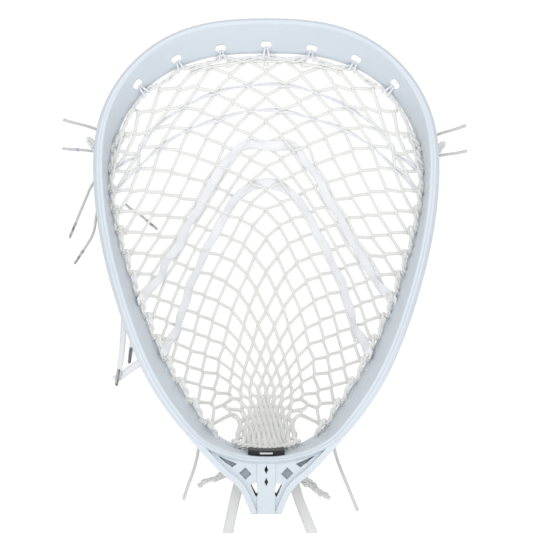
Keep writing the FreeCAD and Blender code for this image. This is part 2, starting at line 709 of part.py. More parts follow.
sub_parts = [add_shape("head_frame", head_frame_shape()), add_pad()]
sub_parts.append(add_shape("mesh_pocket", mesh_pocket_shape()))
cord = size("cord_diameter")
sub_parts.append(add_shape("top_string", cord_shape("top_string", top_string_route(), cord)))
for side in ("left", "right"):
    route = rail_cord_route(*SIDE_STRING_SHARES, SIDE_STRING_POINTS)
    if side == "left":
        route = [mirrored(point) for point in route]
    name = side + "_sidewall_string"
    sub_parts.append(add_shape(name, cord_shape(name, route, cord)))
sub_parts.append(add_shape("bottom_string", cord_shape("bottom_string", bottom_string_route(), cord)))
for name, (tube, half_route) in WOVEN.items():
    sub_parts.append(add_shape(name, cord_shape(name, woven_route(tube, half_route), size(tube))))
for name, (tube, route) in TAILS.items():
    start = Vector(*route[0])
    points = [Vector(*point) - start for point in route]
    sub_parts.append(add_shape(name, cord_shape(name, points, size(tube)), start))
for name in TIPPED_TAILS:
    sub_parts.append(add_tip(name.replace("tail", "tip"), TAILS[name][1]))
for name, (start, end) in KNOTS.items():
    base = Vector(*start)
    sub_parts.append(add_shape(name, knot_shape(Vector(*end) - base), base))

document.recompute()
for item in document.Objects:
    if "Invalid" in item.State or "Error" in item.State:
        raise ValueError("%s did not build: %s" % (item.Name, item.State))
for part in sub_parts:
    if part.Shape.isNull() or not part.Shape.isValid():
        raise ValueError("%s has no valid shape" % part.Label)
for part in sub_parts:
    part.Shape.exportStep("parts/%s.step" % part.Label)
    print("%-28s volume %12.1f" % (part.Label, part.Shape.Volume))
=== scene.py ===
"""Looks of the strung goalie lacrosse head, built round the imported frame. Metres, in the frame's axes."""

import math

import bpy
import numpy as np
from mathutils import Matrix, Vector
from mathutils.bvhtree import BVHTree


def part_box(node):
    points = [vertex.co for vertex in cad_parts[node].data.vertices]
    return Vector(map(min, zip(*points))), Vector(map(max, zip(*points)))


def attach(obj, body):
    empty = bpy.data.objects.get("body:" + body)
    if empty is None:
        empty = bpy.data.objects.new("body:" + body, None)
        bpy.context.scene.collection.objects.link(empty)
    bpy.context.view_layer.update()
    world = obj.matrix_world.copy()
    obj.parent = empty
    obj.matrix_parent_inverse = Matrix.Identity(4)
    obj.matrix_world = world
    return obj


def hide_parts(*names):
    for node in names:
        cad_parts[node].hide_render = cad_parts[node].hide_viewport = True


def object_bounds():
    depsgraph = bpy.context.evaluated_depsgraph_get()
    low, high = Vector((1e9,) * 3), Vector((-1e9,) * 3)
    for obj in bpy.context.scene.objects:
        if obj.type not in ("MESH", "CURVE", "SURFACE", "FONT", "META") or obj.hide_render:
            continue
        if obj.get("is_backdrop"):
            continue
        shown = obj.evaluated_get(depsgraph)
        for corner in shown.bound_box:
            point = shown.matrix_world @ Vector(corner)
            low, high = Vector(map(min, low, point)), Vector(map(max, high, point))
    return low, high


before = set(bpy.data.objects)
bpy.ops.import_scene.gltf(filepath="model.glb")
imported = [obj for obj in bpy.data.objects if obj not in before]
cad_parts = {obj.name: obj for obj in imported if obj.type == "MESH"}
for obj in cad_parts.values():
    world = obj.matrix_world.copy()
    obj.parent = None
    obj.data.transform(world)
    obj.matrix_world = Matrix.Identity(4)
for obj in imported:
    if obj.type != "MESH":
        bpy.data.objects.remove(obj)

CAD_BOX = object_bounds()
SEED = 11
random = np.random.default_rng(SEED)

# ---------------------------------------------------------------- sizes

MESH_CORD = 0.0031            # one leg of the knotless mesh, across its lumps
MESH_LUMP = 0.0029            # length of one lump along a mesh leg
SIDE = 0.0182                 # side of one diamond of the mesh at rest
NET_ROWS = 32                 # rows of nodes below the top one
NET_HALF = 5.5                # columns each side of the middle; even rows stop half a column short
JOINT = 0.0011                # half length of a mesh joint, where two legs run side by side
LACE_WIDTH = 0.0107           # of the two laces woven over the mesh
LACE_THICKNESS = 0.0013
TIP_LENGTH = 0.013            # hard sleeve at the end of some of the free ends
TIP_RADIUS = 0.0018

# Distance round the rim from the middle of the scoop to the places where the mesh is tied on: the first row's
# ties across the scoop, then every second row's down the sides, where the steps grow from tie to tie.
TOP_TIES = [0.0, 0.034, 0.068, 0.102, 0.131, 0.154]
SIDE_TIES_START = 0.1715
SIDE_TIES_STEP = 0.0168
SIDE_TIES_GROWTH = 0.00024
LAST_SIDE_ROW = 27
SIDE_TIES = {
    row: SIDE_TIES_START + SIDE_TIES_STEP * k + SIDE_TIES_GROWTH * k ** 2
    for k, row in enumerate(range(1, LAST_SIDE_ROW + 1, 2))
}
THROAT_TIES = 0.0049          # between neighbouring ties across the throat
SIDE_REACH = 0.0085           # how far inside the moulding's edge the mesh's outermost nodes hang
SIDE_REACH_TOP = 0.0030       # the same at the first side tie, and how much it gains with each row
SIDE_REACH_GAIN = 0.0006

# Middle column of the mesh: even rows' heights close up a little, then open where the pocket is deepest.
MIDDLE_ROWS = range(2, 21)
MIDDLE_TOP = 0.3923
MIDDLE_STEP = 0.0222
MIDDLE_CLOSING = 0.0003
OPENING_START = 14            # row
OPENING_STEP = 0.0046
OPENING_GROWTH = 0.0030
# The odd rows' nodes beside the middle: how far they stand from it, and what the upper and lower rows change.
MIDDLE_SPREAD = 0.0139
SPREAD_ABOVE = 0.00135
SPREAD_BELOW = 0.0008

# Rows gathered towards the throat, as a bundle of legs side by side.
GATHERED_ROWS = (22, 24, 26, 28, 29, 30, 31)
GATHERED_FROM = 8             # a gathered row keeps a quarter of the rows below this one as its columns
GATHERED_FOOT = 0.0650        # height of the last of them
GATHERED_STEP = 0.0064        # between rows at the foot
GATHERED_OPENING = 0.0000324  # extra height, with the cube of the rows above the foot
GATHERED_PITCH = 0.0046       # between columns in the bundle
PITCH_OPENING = 0.00123       # how much that grows with each row above the bundle
PITCH_GROWTH = 0.0025         # and from the middle to the sides, with each row above the foot
PITCH_GROWTH_FOOT = 0.0010
PITCH_GROWTH_LIMIT = 0.0095
GATHERED_HANG = 0.0002        # how far the outer columns hang, with the square of the column

# Places (x, z) that the laces and shooting strings hold some of the right half's nodes to.
HELD_NODES = {
    (4, 4): (0.113, 0.326), (5, 2.5): (0.070, 0.341), (8, 2): (0.045, 0.310), (10, 3): (0.063, 0.278),
    (12, 4): (0.082, 0.244),
}

# ---------------------------------------------------------------- materials


def new_material(name, colour, roughness, **inputs):
    """Principled material with constant inputs on its own sockets."""
    material = bpy.data.materials.new(name)
    material.use_nodes = True
    shader = material.node_tree.nodes["Principled BSDF"]
    shader.inputs["Base Color"].default_value = (*colour, 1)
    shader.inputs["Roughness"].default_value = roughness
    for socket, value in inputs.items():
        shader.inputs[socket.replace("_", " ")].default_value = value
    return material


def add_node(material, kind, **settings):
    node = material.node_tree.nodes.new(kind)
    for key, value in settings.items():
        setattr(node, key, value)
    return node


def join(material, source, output, target, socket):
    material.node_tree.links.new(source.outputs[output], target.inputs[socket])


def noise(material, scale, detail=3.0, roughness=0.55, stretch=(1, 1, 1)):
    """Noise in the object's own space, so that it needs no UVs."""
    place = add_node(material, "ShaderNodeTexCoord")
    mapping = add_node(material, "ShaderNodeMapping")
    mapping.inputs["Scale"].default_value = stretch
    texture = add_node(material, "ShaderNodeTexNoise")
    texture.inputs["Scale"].default_value = scale
    texture.inputs["Detail"].default_value = detail
    texture.inputs["Roughness"].default_value = roughness
    join(material, place, "Object", mapping, "Vector")
    join(material, mapping, "Vector", texture, "Vector")
    return texture


def ramp(material, source, output, low, high, from_share=0.3, to_share=0.7):
    """Colour ramp between two colours over part of a source's range."""
    node = add_node(material, "ShaderNodeValToRGB")
    node.color_ramp.elements[0].position = from_share
    node.color_ramp.elements[1].position = to_share
    node.color_ramp.elements[0].color = (*low, 1)
    node.color_ramp.elements[1].color = (*high, 1)
    join(material, source, output, node, "Fac")
    return node


def map_range(material, source, output, low, high, from_low=0.0, from_high=1.0):
    node = add_node(material, "ShaderNodeMapRange")
    node.inputs["From Min"].default_value = from_low
    node.inputs["From Max"].default_value = from_high
    node.inputs["To Min"].default_value = low
    node.inputs["To Max"].default_value = high
    join(material, source, output, node, "Value")
    return node


def maths(material, operation, first, second):
    """Arithmetic on two nodes' first outputs."""
    node = add_node(material, "ShaderNodeMath", operation=operation)
    material.node_tree.links.new(first.outputs[0], node.inputs[0])
    material.node_tree.links.new(second.outputs[0], node.inputs[1])
    return node


def bump(material, height, strength, distance):
    node = add_node(material, "ShaderNodeBump")
    node.inputs["Strength"].default_value = strength
    node.inputs["Distance"].default_value = distance
    material.node_tree.links.new(height.outputs[0], node.inputs["Height"])
    join(material, node, "Normal", material.node_tree.nodes["Principled BSDF"], "Normal")
    return node


WAVE_PHASE = 10.0             # a diagonal wave texture's phase for each unit of (x + y)


def strands(material, around, pitch, direction):
    """Stripes that wind round a tube: so many of them around, one pitch in metres along."""
    place = add_node(material, "ShaderNodeTexCoord")
    mapping = add_node(material, "ShaderNodeMapping")
    turn = 2 * math.pi / WAVE_PHASE
    mapping.inputs["Scale"].default_value = (direction * around * turn, turn / pitch, 0)
    wave = add_node(material, "ShaderNodeTexWave", bands_direction="DIAGONAL")
    wave.inputs["Scale"].default_value = 1.0
    join(material, place, "UV", mapping, "Vector")
    join(material, mapping, "Vector", wave, "Vector")
    return wave


def braided(name, colour, shade, around, pitch, depth, sheen):
    """Braided or woven textile: crossing strands in relief, with painted shade making the gaps a little
    darker.
    """
    material = new_material(
        name, colour, 0.75, Sheen_Weight=sheen, Sheen_Roughness=0.4, Specular_IOR_Level=0.35)
    shader = material.node_tree.nodes["Principled BSDF"]
    left = strands(material, around, pitch, -1)
    right = strands(material, around, pitch, 1)
    weave = maths(material, "MULTIPLY", left, right)
    fibres = noise(material, 2600, 2.0)
    tint = ramp(material, weave, 0, shade, colour, 0.02, 0.45)
    join(material, tint, "Color", shader, "Base Color")
    height = maths(material, "ADD", weave, map_range(material, fibres, "Fac", 0.0, 0.35))
    bump(material, height, 0.75, depth)
    rough = map_range(material, fibres, "Fac", 0.62, 0.88)
    join(material, rough, "Result", shader, "Roughness")
    return material


def frame_plastic():
    """Very pale blue-white moulded nylon: fine grain, painted shade darkening the outward-facing flanks and
    the throat, and a painted shadow in the bore.
    """
    material = new_material(
        "frame_plastic", (0.60, 0.66, 0.71), 0.34, Subsurface_Weight=0.05, Subsurface_Scale=0.003,
        Coat_Weight=0.10, Coat_Roughness=0.25, Specular_IOR_Level=0.45)
    shader = material.node_tree.nodes["Principled BSDF"]
    cloud = noise(material, 9, 3.0)
    grain = noise(material, 1500, 2.0)
    tone = ramp(material, cloud, "Fac", (0.600, 0.655, 0.705), (0.640, 0.690, 0.735))
    place = add_node(material, "ShaderNodeTexCoord")
    bore = add_node(material, "ShaderNodeMapping")
    bore.inputs["Location"].default_value = (0, 0, -BORE_MIDDLE / BORE_REACH[2])
    bore.inputs["Scale"].default_value = [1 / reach for reach in BORE_REACH]
    outward = add_node(material, "ShaderNodeVectorMath", operation="SUBTRACT")
    outward.inputs[1].default_value = RING_CENTRE
    level = add_node(material, "ShaderNodeVectorMath", operation="MULTIPLY")
    level.inputs[1].default_value = (1, 0, 1)
    ray = add_node(material, "ShaderNodeVectorMath", operation="NORMALIZE")
    lean = add_node(material, "ShaderNodeVectorMath", operation="DOT_PRODUCT")
    join(material, place, "Object", outward, 0)
    join(material, outward, "Vector", level, 0)
    join(material, level, "Vector", ray, 0)
    join(material, ray, "Vector", lean, 0)
    join(material, place, "Normal", lean, 1)
    # Painted shade: surfaces facing out from the ring's middle, and the throat below THROAT_TOP, are darkened
    # towards a grey-blue shade colour.
    outer_flank = map_range(material, lean, "Value", 0.0, 0.8, 0.62, 0.98)
    height = add_node(material, "ShaderNodeSeparateXYZ")
    join(material, place, "Object", height, "Vector")
    throat = map_range(material, height, "Z", 0.55, 0.0, 0.0, THROAT_TOP)
    flank_and_throat_shade = maths(material, "MAXIMUM", outer_flank, throat)
    painted_shade_mix = add_node(material, "ShaderNodeMix", data_type="RGBA")
    join(material, flank_and_throat_shade, "Value", painted_shade_mix, "Factor")
    join(material, tone, "Color", painted_shade_mix, 6)
    painted_shade_mix.inputs[7].default_value = PAINTED_SHADE_COLOUR
    # Painted shadow: inside the bore's box the colour goes nearly black.
    box = add_node(material, "ShaderNodeSeparateXYZ")
    join(material, place, "Object", bore, "Vector")
    join(material, bore, "Vector", box, "Vector")
    sides = []
    for axis in ("X", "Y", "Z"):
        side = add_node(material, "ShaderNodeMath", operation="ABSOLUTE")
        join(material, box, axis, side, 0)
        sides.append(side)
    furthest = maths(material, "MAXIMUM", maths(material, "MAXIMUM", sides[0], sides[1]), sides[2])
    inside = map_range(material, furthest, "Value", 1.0, 0.0, 0.98, 1.0)
    mix = add_node(material, "ShaderNodeMix", data_type="RGBA")
    join(material, inside, "Result", mix, "Factor")
    join(material, painted_shade_mix, 2, mix, 6)
    mix.inputs[7].default_value = BORE_SHADOW_COLOUR
    join(material, mix, 2, shader, "Base Color")
    rough = map_range(material, noise(material, 60, 4.0), "Fac", 0.27, 0.42, 0.3, 0.7)
    join(material, rough, "Result", shader, "Roughness")
    bump(material, grain, 0.12, 0.00012)
    return material


def pad_foam():
    """Matt black closed-cell foam."""
    material = new_material(
        "pad_foam", (0.022, 0.022, 0.023), 0.9, Sheen_Weight=0.1, Specular_IOR_Level=0.3)
    shader = material.node_tree.nodes["Principled BSDF"]
    place = add_node(material, "ShaderNodeTexCoord")
    cells = add_node(material, "ShaderNodeTexVoronoi")
    cells.inputs["Scale"].default_value = 1400
    join(material, place, "Object", cells, "Vector")
    tone = ramp(material, cells, "Distance", (0.012, 0.012, 0.013), (0.035, 0.035, 0.037), 0.1, 0.7)
    join(material, tone, "Color", shader, "Base Color")
    bump(material, cells, 0.5, 0.00018)
    return material


def printed_mark():
    material = new_material("printed_mark", (0.62, 0.62, 0.62), 0.55)
    shader = material.node_tree.nodes["Principled BSDF"]
    speckle = noise(material, 3000, 2.0)
    tone = ramp(material, speckle, "Fac", (0.45, 0.45, 0.45), (0.68, 0.68, 0.68))
    join(material, tone, "Color", shader, "Base Color")
    bump(material, speckle, 0.2, 0.00005)
    return material


def tip_plastic(name, dark, light, streak):
    """Heat-shrunk or melted cord end: smoky, with streaks along it."""
    material = new_material(
        name, light, 0.3, Coat_Weight=0.4, Coat_Roughness=0.12, Specular_IOR_Level=0.5)
    shader = material.node_tree.nodes["Principled BSDF"]
    grain = noise(material, streak, 3.0, stretch=(1, 1, 0.22))
    tone = ramp(material, grain, "Fac", dark, light, 0.36, 0.62)
    join(material, tone, "Color", shader, "Base Color")
    rough = map_range(material, grain, "Fac", 0.2, 0.45)
    join(material, rough, "Result", shader, "Roughness")
    bump(material, grain, 0.4, 0.0002)
    return material


RING_CENTRE = (0, 0, 0.26)    # the rim's middle, from which its outer edge is told from its inner one
THROAT_TOP = 0.095            # height at which the painted shade on the throat has faded out
BORE_REACH = (0.01135, 0.01285, 0.0212)   # half sizes of the box round the bore's walls, inside which the painted shadow lies
BORE_MIDDLE = 0.0204          # height of that box's middle
# Painted shade colour for the outward-facing flanks and the throat.
PAINTED_SHADE_COLOUR = (0.51, 0.555, 0.59, 1)
# Painted shadow colour inside the bore.
BORE_SHADOW_COLOUR = (0.10, 0.085, 0.07, 1)

MATERIALS = {
    "frame": frame_plastic(),
    "pad": pad_foam(),
    "mark": printed_mark(),
    "mesh": braided("mesh_cord", (0.90, 0.895, 0.875), (0.70, 0.695, 0.67), 4, 0.0029, 0.00035, 0.25),
    "cord": braided("string_cord", (0.90, 0.90, 0.925), (0.74, 0.745, 0.785), 5, 0.0024, 0.0003, 0.3),
    # Darker grey copy of the string cord, for the free ends.
    "grey_cord": braided("grey_tail_cord", (0.72, 0.715, 0.70), (0.50, 0.495, 0.48), 5, 0.0024, 0.0003, 0.25),
    "lace": braided("lace_weave", (0.92, 0.92, 0.935), (0.74, 0.74, 0.765), 14, 0.0016, 0.0003, 0.35),
    # Darker copy of the lace: painted shade for the laces' hanging ends.
    "shaded_lace": braided("shaded_lace", (0.81, 0.81, 0.80), (0.58, 0.575, 0.565), 14, 0.0016, 0.0003, 0.3),
    "clear_tip": tip_plastic("clear_tip", (0.36, 0.36, 0.50), (0.56, 0.57, 0.66), 420),
    "smoky_tip": tip_plastic("smoky_tip", (0.10, 0.10, 0.11), (0.50, 0.50, 0.50), 520),
    "dark_tip": tip_plastic("dark_tip", (0.035, 0.035, 0.04), (0.22, 0.22, 0.24), 520),
}

# ---------------------------------------------------------------- tubes and ribbons


def unit(vectors):
    return vectors / np.maximum(np.linalg.norm(vectors, axis=-1, keepdims=True), 1e-12)


def smooth_line(points, step):
    """Smooth curve through the points (Catmull-Rom), sampled about every step."""
    points = np.asarray(points, float)
    ends = np.vstack([2 * points[0] - points[1], points, 2 * points[-1] - points[-2]])
    line = []
    for a, b, c, d in zip(ends, ends[1:], ends[2:], ends[3:]):
        count = max(2, int(math.ceil(np.linalg.norm((c - b)[:3]) / step)))
        t = (np.arange(count) / count)[:, None]
        line.append(0.5 * (2 * b + (c - a) * t + (2 * a - 5 * b + 4 * c - d) * t ** 2
                           + (3 * b - a - 3 * c + d) * t ** 3))
    line.append(points[-1:])
    return np.vstack(line)


def distances(line):
    return np.concatenate([[0], np.cumsum(np.linalg.norm(np.diff(line, axis=0), axis=1))])


def carried_normals(tangents, first):
    """Normals carried along a line without turning about it."""
    normals = np.zeros_like(tangents)
    normal = np.asarray(first, float)
    for i, tangent in enumerate(tangents):
        normal = normal - tangent * (normal @ tangent)
        normal = normal / np.linalg.norm(normal)
        normals[i] = normal
    return normals


CAP_ANGLES = np.radians([32, 60, 84])


class Mesher:
    """Collects tubes and ribbons into one mesh, with U once round each and V in metres along it."""

    def __init__(self):
        self.points = []
        self.faces = []
        self.uvs = []
        self.count = 0

    def rings(self, rings, along):
        """Skin between rings of points, closed at both ends."""
        count, sides, _ = rings.shape
        self.points.append(rings.reshape(-1, 3))
        index = self.count + np.arange(count * sides).reshape(count, sides)
        after = np.roll(index, -1, axis=1)
        quads = np.stack([index[:-1], after[:-1], after[1:], index[1:]], axis=-1).reshape(-1, 4)
        u = np.arange(sides) / sides
        u_after = u + 1 / sides
        low = np.repeat(along[:-1], sides)
        high = np.repeat(along[1:], sides)
        u = np.tile(u, count - 1)
        u_after = np.tile(u_after, count - 1)
        corners = np.stack([u, low, u_after, low, u_after, high, u, high], axis=-1)
        self.faces += quads.tolist()
        self.uvs.append(corners.reshape(-1, 2))
        for ring, place in ((index[0][::-1], along[0]), (index[-1], along[-1])):
            self.faces.append(ring.tolist())
            self.uvs.append(np.tile([0.5, place], (sides, 1)))
        self.count += count * sides

    def tube(self, line, half_width, half_thickness=None, facing=None, sides=8, scale=None, twist=0.0,
             box=0.0):
        """Tube or ribbon along a line. Facing is the flat side's direction, for each point of the line
        or for its start; box squares the section off; twist is in radians for each metre."""
        line = np.asarray(line, float)
        thickness = half_width if half_thickness is None else half_thickness
        tangents = unit(np.gradient(line, axis=0))
        if facing is None:
            facing = np.cross(tangents[0], [0.31, 0.17, 0.93])
        facing = np.asarray(facing, float)
        if facing.ndim == 1:
            normals = carried_normals(tangents, facing)
        else:
            normals = unit(facing - tangents * np.sum(facing * tangents, axis=1, keepdims=True))
        binormals = np.cross(normals, tangents)
        along = distances(line)
        scale = np.ones(len(line)) if scale is None else np.asarray(scale, float)
        reach = min(half_width, thickness)
        starts = [(0, -reach * math.sin(a), math.cos(a)) for a in CAP_ANGLES[::-1]]
        ends = [(len(line) - 1, reach * math.sin(a), math.cos(a)) for a in CAP_ANGLES]
        rows = starts + [(i, 0.0, 1.0) for i in range(len(line))] + ends
        picks = np.array([row[0] for row in rows])
        offsets = np.array([row[1] for row in rows])
        sizes = np.array([row[2] for row in rows])
        centres = line[picks] + tangents[picks] * offsets[:, None]
        places = along[picks] + offsets
        angles = 2 * np.pi * np.arange(sides) / sides
        across = np.cos(angles)
        out = np.sin(angles)
        if box:
            power = 1 - box
            across = np.sign(across) * np.abs(across) ** power
            out = np.sign(out) * np.abs(out) ** power
        turn = places * twist
        width = half_width * scale[picks] - reach * (1 - sizes)
        depth = thickness * scale[picks] * np.maximum(sizes, 0.1)
        u = across[None, :] * width[:, None]
        v = out[None, :] * depth[:, None]
        cosine = np.cos(turn)[:, None]
        sine = np.sin(turn)[:, None]
        u, v = u * cosine - v * sine, u * sine + v * cosine
        rings = centres[:, None, :] + binormals[picks][:, None, :] * u[..., None]
        rings = rings + normals[picks][:, None, :] * v[..., None]
        self.rings(rings, places)

    def blob(self, centre, axis, normal, half_length, half_width, half_thickness, sides=8):
        """Rounded lump stretched along an axis."""
        angles = np.radians([-75, -45, -15, 15, 45, 75])
        axis = unit(np.asarray(axis, float))
        normal = unit(normal - axis * (normal @ axis))
        side = np.cross(normal, axis)
        turn = 2 * np.pi * np.arange(sides) / sides
        rings = []
        for angle in angles:
            ring = centre + axis * half_length * math.sin(angle)
            width = np.outer(np.cos(turn), side) * half_width
            depth = np.outer(np.sin(turn), normal) * half_thickness
            rings.append(ring + (width + depth) * math.cos(angle))
        self.rings(np.array(rings), half_length * np.sin(angles))

    def build(self, name, material, replaced=()):
        """The finished object, riding on the head."""
        mesh = bpy.data.meshes.new(name)
        mesh.from_pydata(np.vstack(self.points).tolist(), [], self.faces)
        layer = mesh.uv_layers.new(name="UVMap")
        layer.data.foreach_set("uv", np.vstack(self.uvs).astype(np.float32).ravel())
        mesh.polygons.foreach_set("use_smooth", [True] * len(mesh.polygons))
        mesh.update()
        return mount(bpy.data.objects.new(name, mesh), material, replaced)


def mount(piece, material, replaced=()):
    """Links a new piece, gives it its material and slot and fixes it to the head."""
    bpy.context.scene.collection.objects.link(piece)
    piece.data.materials.append(material)
    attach(piece, "root")
    if replaced:
        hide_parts(*replaced)
    return piece


# ---------------------------------------------------------------- the pocket's surface and rim


GRID = 0.003
GRID_MARGIN = 0.012


class Pocket:
    """Front of the pocket as depth y over (x, z), read from the CAD solid and run on past its rim."""

    def __init__(self):
        low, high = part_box("mesh_pocket")
        self.x0 = low.x - GRID_MARGIN
        self.z0 = low.z - GRID_MARGIN
        columns = int((high.x - low.x + 2 * GRID_MARGIN) / GRID) + 2
        rows = int((high.z - low.z + 2 * GRID_MARGIN) / GRID) + 2
        tree = BVHTree.FromObject(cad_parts["mesh_pocket"], bpy.context.evaluated_depsgraph_get())
        depth = np.full((columns, rows), np.nan)
        for i in range(columns):
            for j in range(rows):
                start = Vector((self.x0 + i * GRID, low.y - 1, self.z0 + j * GRID))
                hit = tree.ray_cast(start, Vector((0, 1, 0)))[0]
                if hit:
                    depth[i, j] = hit.y
        while np.isnan(depth).any():
            padded = np.pad(depth, 1, constant_values=np.nan)
            around = np.stack([padded[:-2, 1:-1], padded[2:, 1:-1], padded[1:-1, :-2], padded[1:-1, 2:]])
            known = np.sum(~np.isnan(around), axis=0)
            mean = np.nansum(around, axis=0) / np.maximum(known, 1)
            depth = np.where(np.isnan(depth) & (known > 0), mean, depth)
        self.depth = depth
        self.slope_x, self.slope_z = np.gradient(depth, GRID)

    def sample(self, grid, x, z):
        i = np.clip((x - self.x0) / GRID, 0, grid.shape[0] - 1.001)
        j = np.clip((z - self.z0) / GRID, 0, grid.shape[1] - 1.001)
        a = i.astype(int)
        b = j.astype(int)
        s = i - a
        t = j - b
        return ((1 - s) * (1 - t) * grid[a, b] + s * (1 - t) * grid[a + 1, b]
                + (1 - s) * t * grid[a, b + 1] + s * t * grid[a + 1, b + 1])

    def points(self, flat, forward=0.0):
        """Points in space over (x, z) pairs, a distance in front of the surface."""
        x, z = flat[:, 0], flat[:, 1]
        return np.stack([x, self.sample(self.depth, x, z), z], axis=1) + self.normals(flat) * forward

    def normals(self, flat):
        """Unit directions from the surface towards the face of the head."""
        x, z = flat[:, 0], flat[:, 1]
        slopes = [self.sample(self.slope_x, x, z), -np.ones(len(flat)), self.sample(self.slope_z, x, z)]
        return unit(np.stack(slopes, axis=1))


def hull(points):
    """Convex outline of flat points, anticlockwise, as indices."""
    order = sorted(range(len(points)), key=lambda i: (points[i][0], points[i][1]))

    def half(indices):
        chain = []
        for i in indices:
            while len(chain) > 1:
                (ax, az), (bx, bz) = points[chain[-2]], points[chain[-1]]
                if (bx - ax) * (points[i][1] - az) - (bz - az) * (points[i][0] - ax) > 0:
                    break
                chain.pop()
            chain.append(i)
        return chain[:-1]

    return half(order) + half(order[::-1])


class Rim:
    """The pocket's edge, by distance round it from the middle of the scoop: right is positive."""

    def __init__(self):
        vertices = np.array([v.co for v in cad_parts["mesh_pocket"].data.vertices])
        outline = vertices[hull(vertices[:, [0, 2]].tolist())][::-1]
        for point in outline:
            near = np.linalg.norm(vertices[:, [0, 2]] - point[[0, 2]], axis=1) < 0.0015
            point[1] = vertices[near, 1].min()
        top = np.argmax(outline[:, 2] - np.abs(outline[:, 0]))
        outline = np.roll(outline, -top, axis=0)
        closed = np.vstack([outline, outline[:1]])
        along = distances(closed[:, [0, 2]])
        self.length = along[-1]
        self.along = np.concatenate([along[:-1] - self.length, along[:-1], along + self.length])
        self.line = np.vstack([outline, outline, closed])
        middle = 0.0
        for _ in range(4):
            middle -= self.at(middle)[0]
        self.along = self.along - middle

    def at(self, place, outward=0.0, back=0.0):
        """Point on the rim, a distance outside it and behind it."""
        def spot(s):
            return np.array([np.interp(s, self.along, self.line[:, k]) for k in range(3)])
        step = 0.004
        tangent = spot(place + step) - spot(place - step)
        normal = np.array([-tangent[2], 0, tangent[0]])
        return spot(place) + unit(normal) * outward + np.array([0, back, 0])


class Moulding:
    """Front and back of the moulded head, found by rays along Y."""

    def __init__(self):
        self.tree = BVHTree.FromObject(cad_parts["head_frame"], bpy.context.evaluated_depsgraph_get())

    def front(self, point):
        """First y of the head at a point's x and z."""
        return self.tree.ray_cast(Vector((point[0], -1, point[2])), Vector((0, 1, 0)))[0].y

    def back(self, point):
        """Last y of the head at a point's x and z."""
        return self.tree.ray_cast(Vector((point[0], 1, point[2])), Vector((0, -1, 0)))[0].y

    def slot_centre(self, near_x, near_z):
        """Middle (x, z) of the slot near a place, from the rays that pass through it."""
        steps = np.arange(-SLOT_SCAN, SLOT_SCAN + 1) * SLOT_SCAN_STEP
        passed = []
        for x in near_x + steps:
            for z in near_z + steps:
                within = math.hypot(x - near_x, z - near_z) < SLOT_SCAN * SLOT_SCAN_STEP
                if within and self.tree.ray_cast(Vector((x, -1, z)), Vector((0, 1, 0)))[0] is None:
                    passed.append((x, z))
        return np.mean(passed, axis=0)


# Rough places (x, z) of the middle slot and the three to the right of it.
SLOTS_NEAR = [(0.0, 0.416), (0.041, 0.413), (0.080, 0.403), (0.115, 0.380)]
SLOT_SCAN = 22                # rays each way from a slot's rough place
SLOT_SCAN_STEP = 0.00025      # between rays

pocket = Pocket()
rim = Rim()
moulding = Moulding()
slots = [moulding.slot_centre(*near) for near in SLOTS_NEAR]

# ---------------------------------------------------------------- the net

PLASTIC_OUTWARD = 0.0052      # moulding's inner edge, outside the pocket's rim
KNOT_OUTWARD = -0.0026        # first row of the mesh, whose knots hang below the top string
SECOND_ROW_OUTWARD = {0.5: -0.0009, 1.5: -0.0034}
SPRING_STEPS = 2600
SLACK_STIFFNESS = 0.35        # of a leg that is shorter than at rest
SMOOTHING = 0.02
BEND_STIFFNESS = 0.25         # of a cord that would turn at a node
SPRING_DAMPING = 0.85         # share of its speed that a node keeps from step to step
SPRING_STEP = 0.06            # speed gained for each unit of force
LAYOUT_START = (0, 0.25)      # where the free nodes are before the first layout
LAYOUT_STEPS = 900
NODE_JITTER = 0.0003
NET_BEHIND = 0.0012           # how far the net's middle lies behind the pocket's front surface
THROAT_OUTWARD = 0.003        # ties across the throat, outside the pocket's rim


def middle_height(row):
    """Height of the middle column's node in an even row."""
    step = row / 2 - 1
    opened = max(row - OPENING_START, 0) / 2
    closed_up = MIDDLE_TOP - MIDDLE_STEP * step + MIDDLE_CLOSING * step ** 2
    return closed_up - OPENING_STEP * opened - OPENING_GROWTH * opened ** 2


def middle_spread(row):
    """Distance from the middle of the nodes beside it in an odd row."""
    return MIDDLE_SPREAD + SPREAD_ABOVE * max(5 - row, 0) - SPREAD_BELOW * max(row - 13, 0)


def gathered_place(row, column):
    """Place (x, z) of a node in a gathered row."""
    above = NET_ROWS - 1 - row
    height = GATHERED_FOOT + GATHERED_STEP * above + GATHERED_OPENING * above ** 3
    pitch = GATHERED_PITCH + PITCH_OPENING * max(above - 3, 0)
    growth = min(PITCH_GROWTH_FOOT + PITCH_GROWTH * above, PITCH_GROWTH_LIMIT)
    return column * pitch * (1 + growth * column ** 2), height - GATHERED_HANG * column ** 2


